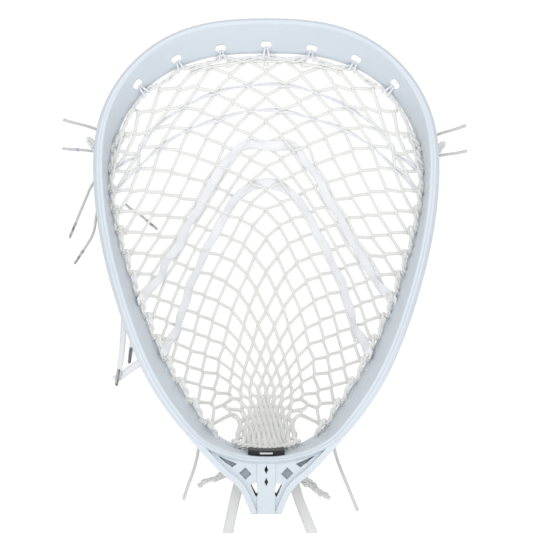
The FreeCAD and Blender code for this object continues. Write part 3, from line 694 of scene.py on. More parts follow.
class Net:
    """Mesh of diamonds: nodes relaxed over the pocket between their ties on the rim."""

    def __init__(self):
        self.index = {}
        for row in range(NET_ROWS + 1):
            half = NET_HALF if row % 2 else NET_HALF - 0.5
            for k in range(int(2 * half) + 1):
                self.index[row, k - half] = len(self.index)
        self.edges = []
        for (row, column), start in self.index.items():
            for step in (-0.5, 0.5):
                end = self.index.get((row + 1, column + step))
                if end is not None:
                    self.edges.append((start, end))
        self.flat = np.zeros((len(self.index), 2))
        self.free = np.ones((len(self.index), 2), bool)
        self.tie()
        self.spread()
        self.relax()

    def tied(self, row, column):
        """Point at which a node of the mesh's edge hangs, or None."""
        side = math.copysign(1, column)
        if row == 0:
            return rim.at(side * TOP_TIES[int(abs(column))], KNOT_OUTWARD)
        if row == 1 and abs(column) in SECOND_ROW_OUTWARD:
            return rim.at(column * TOP_TIES[1], SECOND_ROW_OUTWARD[abs(column)])
        if row == NET_ROWS:
            return rim.at(rim.length / 2 - column * THROAT_TIES, THROAT_OUTWARD)
        if abs(column) == NET_HALF and row in SIDE_TIES:
            edge = rim.at(side * SIDE_TIES[row], PLASTIC_OUTWARD)
            reach = min(SIDE_REACH, SIDE_REACH_TOP + SIDE_REACH_GAIN * (row - 1))
            return edge - np.array([side * reach, 0, 0])
        return None

    def tie(self):
        """Places of the nodes that don't move."""
        for (row, column), i in self.index.items():
            point = self.tied(row, column)
            if point is not None:
                self.flat[i] = point[[0, 2]]
                self.free[i] = False
            if column == 0 and row in MIDDLE_ROWS:
                self.flat[i] = (0, middle_height(row))
                self.free[i] = False
            if abs(column) == 0.5 and row in MIDDLE_ROWS:
                self.flat[i, 0] = math.copysign(middle_spread(row), column)
                self.free[i, 0] = False
            if (row, abs(column)) in HELD_NODES:
                across, up = HELD_NODES[row, abs(column)]
                self.flat[i] = (math.copysign(across, column), up)
                self.free[i] = False
            if row in GATHERED_ROWS and abs(column) <= (row - GATHERED_FROM) / 4:
                self.flat[i] = gathered_place(row, column)
                self.free[i] = False

    def spread(self):
        """First layout: each free node at the middle of its neighbours."""
        start, end = np.array(self.edges).T
        counts = np.bincount(np.concatenate([start, end]), minlength=len(self.flat))[:, None]
        self.flat = np.where(self.free, LAYOUT_START, self.flat)
        for _ in range(LAYOUT_STEPS):
            total = np.zeros_like(self.flat)
            np.add.at(total, start, self.flat[end])
            np.add.at(total, end, self.flat[start])
            self.flat = np.where(self.free, total / counts, self.flat)

    def relax(self):
        """Springs along the legs pull the free nodes to their places on the pocket."""
        start, end = np.array(self.edges).T
        bends = [chain[k:k + 3] for chain, _ in self.strands() for k in range(len(chain) - 2)]
        before, here, after = np.array([[self.index[key] for key in bend] for bend in bends]).T
        speed = np.zeros_like(self.flat)
        for _ in range(SPRING_STEPS):
            x, z = self.flat[:, 0], self.flat[:, 1]
            slope_x = pocket.sample(pocket.slope_x, x, z)
            slope_z = pocket.sample(pocket.slope_z, x, z)
            space = np.stack([x, pocket.sample(pocket.depth, x, z), z], axis=1)
            leg = space[end] - space[start]
            length = np.linalg.norm(leg, axis=1)
            pull = length - SIDE
            pull = np.where(pull < 0, pull * SLACK_STIFFNESS, pull)
            force = leg * (pull / length)[:, None] + leg * SMOOTHING
            total = np.zeros_like(space)
            np.add.at(total, start, force)
            np.add.at(total, end, -force)
            straighten = ((space[before] + space[after]) / 2 - space[here]) * BEND_STIFFNESS
            np.add.at(total, here, straighten)
            np.add.at(total, before, straighten / -2)
            np.add.at(total, after, straighten / -2)
            push_x = (total[:, 0] + total[:, 1] * slope_x) / (1 + slope_x ** 2)
            push_z = (total[:, 2] + total[:, 1] * slope_z) / (1 + slope_z ** 2)
            speed = SPRING_DAMPING * speed + SPRING_STEP * np.stack([push_x, push_z], axis=1)
            self.flat = np.where(self.free, self.flat + speed, self.flat)
        self.flat += np.where(self.free, random.normal(0, NODE_JITTER, self.flat.shape), 0)
        self.space = pocket.points(self.flat, -NET_BEHIND)
        self.normal = pocket.normals(self.flat)

    def node(self, row, column):
        return self.space[self.index[row, column]]

    def facing(self, row, column):
        return self.normal[self.index[row, column]]

    def down(self, row, column):
        """Direction of the mesh's length at a node."""
        above = [self.index.get((row - 1, column + step)) for step in (-0.5, 0.5)]
        below = [self.index.get((row + 1, column + step)) for step in (-0.5, 0.5)]
        here = self.node(row, column)
        total = np.zeros(3)
        for group, sign in ((above, -1), (below, 1)):
            found = [self.space[i] for i in group if i is not None]
            if found:
                total += sign * unit(np.mean(found, axis=0) - here)
        return unit(total)

    def strands(self):
        """Every cord of the mesh as its list of nodes, with the side towards which it runs."""
        for step in (-0.5, 0.5):
            for row, column in self.index:
                if (row - 1, column - step) in self.index:
                    continue
                chain = []
                while (row, column) in self.index:
                    chain.append((row, column))
                    row, column = row + 1, column + step
                if len(chain) > 1:
                    yield chain, step


net = Net()

JOINT_SPREAD = 0.0003         # how far a cord swings to each side in a joint
JOINT_CROSSING = 0.0005       # how far in front of or behind the other cord it crosses
JOINT_SIZE = (0.0024, 0.0018, 0.0014)   # half length, width and thickness of a joint's knot
MESH_FLATNESS = 0.76          # thickness of a mesh leg as a share of its width
LUMP_WIDE = 1.12              # width at a lump's middle and between two lumps, as shares of the leg's
LUMP_NARROW = 0.86
GATHERED_JOINT = 2.4          # how much longer the joints get where the mesh is gathered
GATHERED_JOINT_ROWS = (24, 28)   # rows over which they grow
GATHERED_SWELL = 0.33         # how much thicker the bunched cords look there
GATHERED_TOP = 0.112          # the thickening starts below this height and inside this half width
GATHERED_SIDE = 0.038
GATHERED_FADE = (0.008, 0.03)   # and is full this much further in and down


def net_strand(chain, step):
    """Line and facing of one mesh cord, which crosses to the other side within each joint."""
    points = []
    facings = []
    for place, (row, column) in enumerate(chain):
        here = net.node(row, column)
        facing = net.facing(row, column)
        axis = net.down(row, column)
        side = np.cross(facing, axis)
        side = side * (1 if side[0] > 0 else -1)
        lean = 1 if step > 0 else -1
        reach = JOINT * (1 + GATHERED_JOINT * float(np.interp(row, GATHERED_JOINT_ROWS, (0, 1))))
        reach = reach if 0 < place < len(chain) - 1 else JOINT * 0.5
        crossing = facing * JOINT_CROSSING * lean
        points.append(here - axis * reach - side * JOINT_SPREAD * lean + crossing)
        points.append(here + axis * reach + side * JOINT_SPREAD * lean + crossing)
        facings += [facing, facing]
    return smooth_line(np.hstack([points, facings]), MESH_LUMP / 2)


def build_net():
    """The mesh's lumpy cords and the knots where they join."""
    cords = Mesher()
    for chain, step in net.strands():
        line = net_strand(chain, step)
        within = np.clip((GATHERED_SIDE - abs(line[:, 0])) / GATHERED_FADE[0], 0, 1)
        below = np.clip((GATHERED_TOP - line[:, 2]) / GATHERED_FADE[1], 0, 1)
        lumps = np.where(np.arange(len(line)) % 2 == 0, LUMP_WIDE, LUMP_NARROW)
        swell = lumps * (1 + GATHERED_SWELL * below * within)
        cords.tube(line[:, :3], MESH_CORD / 2, MESH_CORD * MESH_FLATNESS / 2, line[:, 3:], 8, swell)
    cords.build("mesh_net", MATERIALS["mesh"], ["mesh_pocket"])
    joints = Mesher()
    for (row, column), i in net.index.items():
        joints.blob(net.space[i], net.down(row, column), net.normal[i], *JOINT_SIZE)
    joints.build("mesh_joints", MATERIALS["mesh"])


# ---------------------------------------------------------------- strings round the rim

TOP_STRING_OUTWARD = 0.0036   # the top string at the scoop's slots, outside the pocket's rim
TOP_STRING_SAG = 0.0030       # how much lower it hangs between them
TOP_STRING_BACK = -0.001      # 1 mm in front of the rim


def twisted_pair(mesher, line, radius, pitch, spread=None, sides=8):
    """Two cords laid round each other along a line."""
    line = np.asarray(line, float)
    tangents = unit(np.gradient(line, axis=0))
    normals = carried_normals(tangents, np.cross(tangents[0], [0.31, 0.17, 0.93]))
    binormals = np.cross(normals, tangents)
    turn = 2 * np.pi * distances(line) / pitch
    gap = radius if spread is None else spread
    offset = gap * (normals * np.cos(turn)[:, None] + binormals * np.sin(turn)[:, None])
    for sign in (-1, 1):
        mesher.tube(line + sign * offset, radius, sides=sides)


def rim_line(start, end, outward, back=0.0, step=0.004):
    """Points along a stretch of the rim."""
    count = int(abs(end - start) / step) + 2
    return np.array([rim.at(s, outward, back) for s in np.linspace(start, end, count)])


def wrap(mesher, centre, axis, radius, cord_radius, turns, pitch):
    """A few turns of cord round an axis."""
    axis = unit(np.asarray(axis, float))
    side = unit(np.cross(axis, [0.2, 0.9, 0.3]))
    other = np.cross(axis, side)
    count = int(turns * 12) + 1
    angles = np.linspace(0, 2 * np.pi * turns, count)
    lift = (angles / (2 * np.pi) - turns / 2) * pitch
    line = centre + np.outer(np.cos(angles), side) * radius + np.outer(np.sin(angles), other) * radius
    mesher.tube(line + np.outer(lift, axis), cord_radius, sides=6)


TOP_STRING_END = 0.196        # distance round the rim at which it ends
TOP_STRING_TUCK = (0.147, 0.0018)   # where it goes in beside the last slot: along and outside the rim
LOOP_RADIUS = 0.00105


def at_depth(point, y):
    """The same place with another y."""
    return np.array([point[0], y, point[2]])


def scoop_loop(mesher, slot, foot):
    """Two legs of a loop: from the scoop's back over the slot's lower edge and down to the string."""
    inward = unit((foot - slot) * [1, 0, 1])
    along = np.array([-inward[2], 0, inward[0]])
    for lean in (-1, 1):
        edge = slot + along * lean * 0.0011 + inward * 0.0032
        below = slot + along * lean * 0.0014 + inward * 0.0048
        hidden = slot + along * lean * 0.0009 + inward * 0.0046
        mouth = slot + along * lean * 0.0010 + inward * 0.0021
        plate = (moulding.front(edge) + moulding.back(edge)) / 2
        leg = [
            at_depth(hidden, moulding.back(edge) + 0.0012),
            at_depth(mouth, plate + 0.0004),
            at_depth(edge, moulding.front(edge) - 0.0012),
            at_depth(below, moulding.front(below) - 0.0012),
            foot + along * lean * 0.0024 + [0, -0.0034, 0],
            foot + along * lean * 0.0029 + inward * 0.0016 + [0, -0.0008, 0],
        ]
        mesher.tube(smooth_line(leg, 0.0008), LOOP_RADIUS, sides=8)


def top_knot(mesher, column):
    """Knot of the mesh's first row, which hangs under the string with its two cut ends spread."""
    node = net.node(0, column)
    tie = rim.at(math.copysign(TOP_TIES[abs(column)], column), TOP_STRING_OUTWARD - TOP_STRING_SAG * 0.5)
    axis = unit(node - tie)
    facing = net.facing(0, column)
    side = np.cross(facing, axis)
    mesher.blob(node, axis, facing, 0.0036, 0.0017, 0.0016)
    mesher.blob(node + axis * 0.0026 + facing * 0.0006, side, facing, 0.0036, 0.0014, 0.0015)
    wrap(mesher, tie + axis * 0.0012, np.cross(axis, [0, 1, 0]), 0.0019, 0.0008, 1.5, 0.0018)


def slot_places():
    """Distances round the rim of the scoop's slots, from left to right."""
    right = [nearest_rim(np.array([x, 0, z])) for x, z in slots]
    return [-place for place in right[:0:-1]] + right


def top_string_line():
    """Route of the top string: up to the moulding at each slot, hanging between them."""
    places = slot_places()
    tuck, tuck_outward = TOP_STRING_TUCK
    route = [
        rim.at(-TOP_STRING_END, TOP_STRING_OUTWARD, TOP_STRING_BACK),
        rim.at(-tuck, tuck_outward, TOP_STRING_BACK),
    ]
    for place, after in zip(places, places[1:] + [None]):
        route.append(rim.at(place, TOP_STRING_OUTWARD, TOP_STRING_BACK))
        if after is not None:
            for share in (0.3, 0.7):
                spot = place + (after - place) * share
                route.append(rim.at(spot, TOP_STRING_OUTWARD - TOP_STRING_SAG, TOP_STRING_BACK))
    route.append(rim.at(tuck, tuck_outward, TOP_STRING_BACK))
    route.append(rim.at(TOP_STRING_END, TOP_STRING_OUTWARD, TOP_STRING_BACK))
    return smooth_line(route, 0.0016)


def build_top_string():
    """Twisted string along the scoop, with two legs up into each slot and a knot at each tie."""
    rope = Mesher()
    line = top_string_line()
    twisted_pair(rope, line, 0.00098, 0.0150)
    rope.build("top_string_rope", MATERIALS["cord"], ["top_string"])
    edging = Mesher()
    along = distances(line)
    for phase, height in ((0.0, -0.0012), (2.4, 0.0006)):
        wander = np.sin(along * 2 * np.pi / 0.0235 + phase) * 0.0010
        forward = -0.0012 - 0.0004 * np.sin(along * 380 + phase)
        loose = line + np.stack([np.zeros(len(line)), forward, wander + height], axis=1)
        edging.tube(loose, 0.0010, sides=8)
    edging.build("mesh_edging", MATERIALS["mesh"])
    loops = Mesher()
    for number, (x, z) in enumerate(slots):
        for side in ((1, -1) if number else (1,)):
            slot = np.array([side * x, 0, z])
            foot = rim.at(nearest_rim(slot), TOP_STRING_OUTWARD - 0.0012, TOP_STRING_BACK)
            scoop_loop(loops, slot, foot)
    loops.build("scoop_loops", MATERIALS["cord"])
    knots = Mesher()
    for column in range(-5, 6):
        top_knot(knots, column)
    knots.build("top_knots", MATERIALS["mesh"])


def nearest_rim(point):
    """Distance round the rim at which a point beside the scoop lies."""
    places = np.linspace(-0.23, 0.23, 921)
    gaps = [np.linalg.norm((rim.at(s) - point)[[0, 2]]) for s in places]
    return places[int(np.argmin(gaps))]


BUNDLE_END = 0.0070           # where a bundle goes under the moulding, outside the pocket's rim
BUNDLE_GAPS = (0.0026, 0.0040, 0.0045)   # how far it stands off the moulding: above, below and at the end
LOWER_BUNDLES = 10            # row
ARCHED_ROWS = range(3, 10)    # rows whose stitches arch upward


def side_bundle(lacing, side, start, end, gap):
    """Doubled string that leaves a tie, runs down inside the moulding's edge and goes under it."""
    run = end - start
    route = [
        rim.at(side * start, PLASTIC_OUTWARD - gap, -0.0010),
        rim.at(side * (start + run * 0.30), PLASTIC_OUTWARD - gap * 0.85, -0.0022),
        rim.at(side * (start + run * 0.62), PLASTIC_OUTWARD - gap * 0.45, -0.0012),
        rim.at(side * (start + run * 0.98), BUNDLE_END, 0.0024),
    ]
    line = smooth_line(route, 0.0012)
    twisted_pair(lacing, line, 0.00140, 0.0170, 0.00120)
    third = [route[0] + [0, 0.001, 0.001], route[1] + [0, 0.002, 0], route[2]]
    lacing.tube(smooth_line(third, 0.0015), 0.0011)


def side_stitch(lacing, side, row):
    """Two cords from one of the mesh's outermost nodes to the moulding, knotted at both ends."""
    node = net.node(row, side * NET_HALF)
    edge = rim.at(side * SIDE_TIES[row], PLASTIC_OUTWARD, 0.0)
    hidden = edge + np.array([side * 0.0030, 0.0030, 0])
    rise = 0.0042 if row in ARCHED_ROWS else 0.0006
    for lean, share in ((-1, -0.15), (1, 1)):
        step = np.array([0, -0.0004 * lean, 0.0009 * lean])
        arch = (node * 0.55 + edge * 0.45) + np.array([0, -0.0016, rise * share])
        cord = [node + step, arch + step, edge + step, hidden + step]
        lacing.tube(smooth_line(cord, 0.001), 0.00115, sides=8)
    across = unit(edge - node)
    wrap(lacing, node + across * 0.0014, across, 0.0021, 0.00095, 1.6, 0.0019)
    along = unit(rim.at(side * (SIDE_TIES[row] + 0.004)) - rim.at(side * SIDE_TIES[row]))
    wrap(lacing, edge - across * 0.0012, along, 0.0019, 0.0010, 2.0, 0.0021)


def build_side_strings():
    """Lacing down each side: stitches from the mesh to the rail, and bundles between them."""
    upper_gap, lower_gap, last_gap = BUNDLE_GAPS
    rows = sorted(SIDE_TIES)
    last = SIDE_TIES[LAST_SIDE_ROW]
    for name, side in (("left", -1), ("right", 1)):
        lacing = Mesher()
        for row, after in zip(rows, rows[1:]):
            gap = upper_gap if row < LOWER_BUNDLES else lower_gap
            side_bundle(lacing, side, SIDE_TIES[row], SIDE_TIES[after], gap)
        side_bundle(lacing, side, TOP_TIES[-1], SIDE_TIES[1], upper_gap)
        side_bundle(lacing, side, last, last + 0.016, last_gap)
        for row in rows:
            side_stitch(lacing, side, row)
        lacing.build(name + "_side_lacing", MATERIALS["mesh"], [name + "_sidewall_string"])


def build_bottom_string():
    """String across the throat, and the gathered ends of the mesh that go down into the bow."""
    lacing = Mesher()
    middle = rim.length / 2
    line = smooth_line(rim_line(middle - 0.030, middle + 0.030, 0.0022, -0.0008, 0.006), 0.0012)
    twisted_pair(lacing, line, 0.0014, 0.009, 0.0011)
    for column in range(-5, 6):
        node = net.node(NET_ROWS, column)
        down = np.array([node[0] * 0.02, 0.0004, -0.0062])
        lacing.tube(smooth_line([node, node + down * 0.5, node + down], 0.001), 0.0015, 0.0012, sides=8)
        wrap(lacing, node + down * 0.3, down, 0.0021, 0.0009, 1.3, 0.0016)
    lacing.build("bottom_lacing", MATERIALS["mesh"], ["bottom_string"])


# ---------------------------------------------------------------- shooting strings and laces

SHOOTING_ROWS = {"upper_shooting_string": 3, "lower_shooting_string": 5}
SHOOTING_RADIUS = 0.00085


def build_shooting_strings():
    """Doubled cords woven along a row of nodes, one in front of each node and one behind it."""
    for name, row in SHOOTING_ROWS.items():
        strings = Mesher()
        columns = np.arange(-NET_HALF, NET_HALF + 0.5)
        nodes = [net.node(row, c) for c in columns]
        facings = [net.facing(row, c) for c in columns]
        for strand in (-1, 1):
            points = []
            for k, (node, facing) in enumerate(zip(nodes, facings)):
                front = strand * (1 if k % 2 else -1)
                points.append(node + facing * (0.0024 * front) + np.array([0, 0, 0.0005 * strand]))
                if k + 1 < len(nodes):
                    middle = (node + nodes[k + 1]) / 2 + facing * 0.0004
                    points.append(middle + np.array([0, 0, 0.0013 + 0.0009 * strand]))
            for place, side in ((0, -1), (len(points) + 1, 1)):
                tie = rim.at(side * (SIDE_TIES[row] + 0.003), PLASTIC_OUTWARD + 0.002, 0.003)
                points.insert(place, tie + np.array([0, 0.0006, 0.001]) * strand)
            line = smooth_line(points, 0.0013)
            strings.tube(line, SHOOTING_RADIUS, sides=8)
        strings.build(name + "_pair", MATERIALS["cord"], [name])


# Each lace's shoulder row and column, the neighbour that it leans to, the share of the way there, how much it
# rises in the middle, and the distance round the rim at which it is tied.
LACES = {
    "outer_shooting_lace": (8, 2, (1, -0.5), 0.40, 0.0, 0.3055),
    "inner_shooting_lace": (12, 1, (-1, 0.5), 0.30, 0.007, 0.3570),
}
LACE_FORWARD = 0.0015         # how far in front of the mesh the laces lie, on average
LACE_WEAVE = 0.0014           # and how far they swing to both sides of that
LACE_WEAVE_LENGTH = 2 * SIDE  # along the lace, so about one node in front of it and the next behind it


def lace_half(shoulder, first_column, neighbour, share, rise, tie):
    """Right half of a lace's route, from the middle to the rim, with its facings."""
    middle = net.node(shoulder, 0) + np.array([0, 0, rise])
    points = [middle]
    facings = [net.facing(shoulder, 0)]
    if first_column > 1:
        points.append(net.node(shoulder, 1) * [0.93, 1, 1] + np.array([0, 0, 0.0050]))
        facings.append(net.facing(shoulder, 1))
    row, column = shoulder, first_column
    while column < NET_HALF and (neighbour[0] > 0 or column < 5):
        node = net.node(row, column)
        leaning = net.node(row + neighbour[0], column + neighbour[1])
        points.append(node + (leaning - node) * share)
        facings.append(net.facing(row, column))
        row, column = row + 1, column + 0.5
    points.append(rim.at(tie, 0.0030, -0.001))
    points.append(rim.at(tie + 0.002, 0.0075, 0.004))
    facings += facings[-1:] * 2
    return np.array(points), np.array(facings)


def build_laces():
    """Wide flat laces over the mesh, rolling a little and narrowing where they are pulled."""
    for name, facts in LACES.items():
        points, facings = lace_half(*facts)
        mirror = np.array([-1, 1, 1])
        points = np.vstack([points[:0:-1] * mirror, points])
        facings = np.vstack([facings[:0:-1] * mirror, facings])
        line = smooth_line(np.hstack([points, facings]), 0.0009)
        along = distances(line[:, :3])
        phase = along * 2 * np.pi / LACE_WEAVE_LENGTH
        facing = unit(line[:, 3:])
        wave = np.sin(phase + 0.6) * LACE_WEAVE
        turns = along * 2 * np.pi
        ruffle = 0.035 * np.sin(turns / 0.0047) + 0.025 * np.sin(turns / 0.0029 + 1)
        roll = 0.16 * np.sin(phase * 0.5 + 1.1) + 0.10 * np.sin(along * 61)
        tangents = unit(np.gradient(line[:, :3], axis=0))
        across = np.cross(facing, tangents)
        turned = unit(facing + across * roll[:, None])
        centre = line[:, :3] + facing * (LACE_FORWARD + wave)[:, None]
        width = 0.97 - 0.10 * (0.5 + 0.5 * np.sin(phase + 2.2)) - 0.05 * np.sin(along * 47 + 1) + ruffle
        lace = Mesher()
        lace.tube(centre, LACE_WIDTH / 2, LACE_THICKNESS / 2, turned, 14, width, box=0.35)
        lace.build(name + "_ribbon", MATERIALS["lace"], [name])


# ---------------------------------------------------------------- free ends

# Route in millimetres, as in the CAD; then, in metres, the width, the thickness and the flat side's first
# direction (None for a round cord), the material and the tip or None.
TAILS = {
    "left_upper_cord_tail": ([
        (-145.5, 15, 339.0), (-153, 15.5, 341.6), (-163, 16, 344.9), (-172, 17, 347.0),
        (-181.5, 18, 349.8)],
        0.0026, None, None, "grey_cord", None),
    "left_lower_cord_tail": ([
        (-148.5, 15, 320.6), (-154, 15.3, 321.3), (-161, 15.8, 322.4), (-168.6, 16.5, 323.0)],
        0.0024, None, None, "grey_cord", "clear_tip"),
    "right_upper_cord_tail": ([
        (144.5, 15, 333.6), (152, 15.5, 335.9), (161, 16, 339.1), (169.5, 17, 341.3), (178.5, 18, 344.6)],
        0.0026, None, None, "grey_cord", None),
    "right_lower_cord_tail": ([
        (147.5, 15, 316.2), (155, 15.5, 317.6), (163, 16, 319.0), (171, 16.8, 319.9),
        (179.3, 17.5, 321.8)],
        0.0026, None, None, "grey_cord", None),
    "left_long_cord_tail": ([
        (-147.5, 14, 300.0), (-153, 15, 296.2), (-158, 16.5, 289), (-161.2, 18, 281.6),
        (-164.6, 19, 273.6), (-168, 19.6, 265.8), (-171.4, 19.8, 257.4)],
        0.0024, None, None, "grey_cord", "smoky_tip"),
    "left_short_cord_tail": ([
        (-146.0, 14, 273.5), (-150.3, 15.4, 270.5), (-152.6, 16.8, 265.3), (-153.4, 18.0, 259),
        (-154.3, 18.8, 252), (-156.8, 19.3, 245), (-160.6, 19.5, 238.6), (-164.6, 19.6, 232.6)],
        0.0024, None, None, "grey_cord", "smoky_tip"),
    "left_inner_cord_tail": ([
        (-126.5, 29.5, 274.0), (-123, 31.5, 270.3), (-118, 34, 267.8), (-113.5, 37.5, 264.2),
        (-109, 41.5, 260.2)],
        0.0022, None, None, "grey_cord", "dark_tip"),
    "left_outer_lace_tail": ([
        (-126, 22, 186.0), (-128.5, 27, 176), (-129.3, 31, 163), (-130.2, 33.5, 149), (-131.6, 34.5, 136),
        (-133.6, 35, 124.5)],
        0.0054, 0.0014, (0, -1, 0), "lace", "smoky_tip"),
    "left_middle_lace_tail": ([
        (-117.5, 25, 166.0), (-120.5, 31, 156), (-122.5, 35, 144)],
        0.0046, 0.0014, (0, -1, 0), "lace", "dark_tip"),
    "left_folded_lace_tail": ([
        (-108.0, 27, 137.0), (-114.5, 32.5, 131.2), (-122.5, 37, 125.6), (-131, 39, 119.6),
        (-138.0, 40, 115.0)],
        0.0066, 0.0013, (0, -1, 0), "lace", None),
    "left_bottom_cord_tail": ([
        (-60.5, 31, 60.0), (-61.5, 33.5, 52), (-63.6, 34.5, 41), (-67.4, 34.8, 29), (-71.8, 34.9, 17.5),
        (-74.8, 35, 7.5)],
        0.0028, None, None, "grey_cord", None),
    "right_bottom_cord_tail": ([
        (60.5, 31, 60.0), (61.8, 33.5, 52), (64.9, 34.5, 41), (70.3, 34.8, 27.3), (76.4, 34.9, 12.5),
        (82.4, 35, -2.5)],
        0.0028, None, None, "grey_cord", None),
    "left_bottom_lace_tail": ([
        (-20.5, 30, 36.0), (-23.6, 33, 26), (-27.6, 34.2, 11), (-31.6, 34.6, -7), (-35.2, 34.8, -25),
        (-37.0, 35, -44), (-37.8, 35.6, -62)],
        0.0094, 0.0013, (0, -1, 0), "shaded_lace", None),
    "right_bottom_lace_tail": ([
        (20.5, 30, 36.0), (24.0, 33, 26), (29.0, 34.2, 8), (35.6, 34.6, -9), (42.6, 34.8, -26),
        (47.4, 35, -44), (49.0, 35.6, -62)],
        0.0094, 0.0013, (0, -1, 0), "shaded_lace", None),
    "left_mesh_tail": ([
        (-22.0, 24, 39.0), (-32.5, 25, 32.5), (-42.6, 26, 28.2), (-52.5, 26.6, 25.2), (-60.6, 27, 20.8)],
        0.0030, None, None, "grey_cord", None),
    "right_mesh_tail": ([
        (22.0, 24, 36.0), (30.5, 25, 29.6), (38.0, 26, 22.6), (46.6, 26.6, 15.6), (56.4, 27, 9.4)],
        0.0032, None, None, "grey_cord", None),
}
MILLIMETRE = 0.001
PATH_STEP = 0.0012


def spline_points(route):
    """Points along the smooth NURBS line that a route controls."""
    curve = bpy.data.curves.new("route", "CURVE")
    curve.dimensions = "3D"
    spline = curve.splines.new("NURBS")
    spline.points.add(len(route) - 1)
    for control, place in zip(spline.points, route):
        control.co = (*place, 1)
    spline.order_u = 3
    spline.use_endpoint_u = True
    spline.resolution_u = 16
    holder = bpy.data.objects.new("route", curve)
    bpy.context.scene.collection.objects.link(holder)
    bpy.context.view_layer.update()
    evaluated = holder.evaluated_get(bpy.context.evaluated_depsgraph_get())
    mesh = bpy.data.meshes.new_from_object(evaluated)
    points = np.array([v.co for v in mesh.vertices])
    bpy.data.objects.remove(holder)
    bpy.data.meshes.remove(mesh)
    return points


def even_line(points, step):
    """The same line with evenly spaced points."""
    along = distances(points)
    count = max(6, int(along[-1] / step))
    places = np.linspace(0, along[-1], count)
    return np.stack([np.interp(places, along, points[:, k]) for k in range(3)], axis=1)


# Share of a sleeve's length, change in its width, and how far that reaches.
SLEEVE_CRIMPS = [(0.03, 0.10, 0.05), (0.30, -0.07, 0.06), (0.62, -0.06, 0.05)]


def build_tip(name, line, material, radius, flat=None):
    """Sleeve shrunk over the end of a cord: crimped at its mouth, drawn in at its end."""
    sleeve = Mesher()
    share = np.linspace(0, 1, len(line))
    size = 1.0 - 0.16 * share
    for place, gain, reach in SLEEVE_CRIMPS:
        size = size + gain * np.exp(-((share - place) / reach) ** 2)
    sleeve.tube(line, radius, radius * 0.86, flat, 12, size, twist=60)
    return sleeve.build(name, MATERIALS[material], [name.replace("_sleeve", "_tip")])


# Start, and the way from there to the loop's far end.
BIGHTS = {
    "left": ((-0.149, 0.009, 0.3205), (-0.0105, 0.0005, 0.012)),
    "right": ((0.149, 0.009, 0.3175), (0.0100, 0.0005, 0.011)),
}
BIGHT_GAP = 0.00165           # half the distance between its two legs


def build_bight(side):
    """Cord doubled over and wrapped on itself outside a rail."""
    start, reach = (np.array(vector) for vector in BIGHTS[side])
    across = unit(np.cross(reach, [0, 1, 0])) * BIGHT_GAP
    knot = Mesher()
    leg = [(0.0, 1.0), (0.5, 1.0), (0.85, 0.95)]
    loop = [start + reach * share - across * gap for share, gap in leg]
    loop.append(start + reach * 1.02)
    loop += [start + reach * share + across * gap for share, gap in leg[::-1]]
    knot.tube(smooth_line(loop, 0.0009), 0.0016, sides=10)
    wrap(knot, start + reach * 0.42, reach, 0.0030, 0.00115, 2.0, 0.0023)
    return knot.build(side + "_rail_bight", MATERIALS["mesh"], [side + "_rail_knot"])


# Distance of each strand from the middle at the start and at the end, and its share of the length.
REMNANTS = {
    "left_mesh_tail": [(-0.0020, -0.0007, 0.93), (0.0018, 0.0008, 1.0)],
    "right_mesh_tail": [
        (-0.0046, -0.0010, 0.86), (-0.0020, -0.0004, 1.0), (0.0008, 0.0006, 0.95), (0.0038, 0.0013, 0.74)],
}


def build_remnant(name, line):
    """Cords of the mesh gathered beside its cut end, with knots and frayed ends."""
    remnant = Mesher()
    along = distances(line)
    tangents = unit(np.gradient(line, axis=0))
    across = unit(np.cross(tangents, [0, 1, 0]))
    for k, (first, last, reach) in enumerate(REMNANTS[name]):
        count = max(4, int(len(line) * reach))
        share = np.linspace(0, 1, count)
        offset = first + (last - first) * share + 0.0007 * np.sin(share * 11 + 2.1 * k)
        depth = 0.0009 * np.cos(share * 9 + 1.7 * k)
        strand = line[:count] + across[:count] * offset[:, None] + np.outer(depth, [0, 1, 0])
        frayed = 0.5 * np.exp(-((share - 1) / 0.06) ** 2)
        swell = 1 + 0.22 * np.sin(along[:count] * 2 * np.pi / 0.0058 + k) + frayed
        remnant.tube(strand, 0.0013, sides=10, scale=swell)
        knot = int(count * (0.55 + 0.09 * k))
        remnant.blob(strand[knot], tangents[knot], np.array([0, -1.0, 0]), 0.0028, 0.0024, 0.0022)
    return remnant.build(name.replace("_tail", "_fan"), MATERIALS["grey_cord"])


def build_tail(name, route, width, thickness, facing, material, tip):
    """One free end with what is on it."""
    route = [np.array(point) * MILLIMETRE for point in route]
    whole = list(route)
    if tip:
        whole.append(route[-1] + unit(route[-1] - route[-2]) * TIP_LENGTH)
    line = even_line(spline_points(whole), PATH_STEP)
    along = distances(line)
    length = along[-1]
    mesher = Mesher()
    share = along / length
    if thickness is None:
        swell = 1 + 0.05 * np.cos(along * 2 * np.pi / 0.0024)
        if not tip:
            swell = swell + 0.16 * np.exp(-((share - 1) / 0.05) ** 2)
        mesher.tube(line, width / 2, sides=12, scale=swell)
    else:
        taper = 1 - (0.55 * np.clip((share - 0.72) / 0.28, 0, 1) ** 1.4 if tip else 0 * share)
        roll = 0.25 * np.sin(share * 5.0 + len(name))
        facings = np.array([facing] * len(line)) + np.outer(roll, [1.0, 0, 0.35])
        mesher.tube(line, width / 2, thickness / 2, unit(facings), 14, taper, box=0.35)
    piece = mesher.build(name.replace("_tail", "_end"), MATERIALS[material],
                         [name])
    if tip:
        sleeve_line = line[along > length - TIP_LENGTH]
        sleeve_line = np.vstack([sleeve_line, line[-1] + unit(line[-1] - line[-2]) * 0.0006])
        radius = min(TIP_RADIUS, width * 0.62)
        build_tip(name.replace("_tail", "_sleeve"), sleeve_line, tip, radius)
    if name in REMNANTS:
        build_remnant(name, line)
    if name in ("left_lower_cord_tail", "right_lower_cord_tail"):
        build_bight(name.split("_")[0])


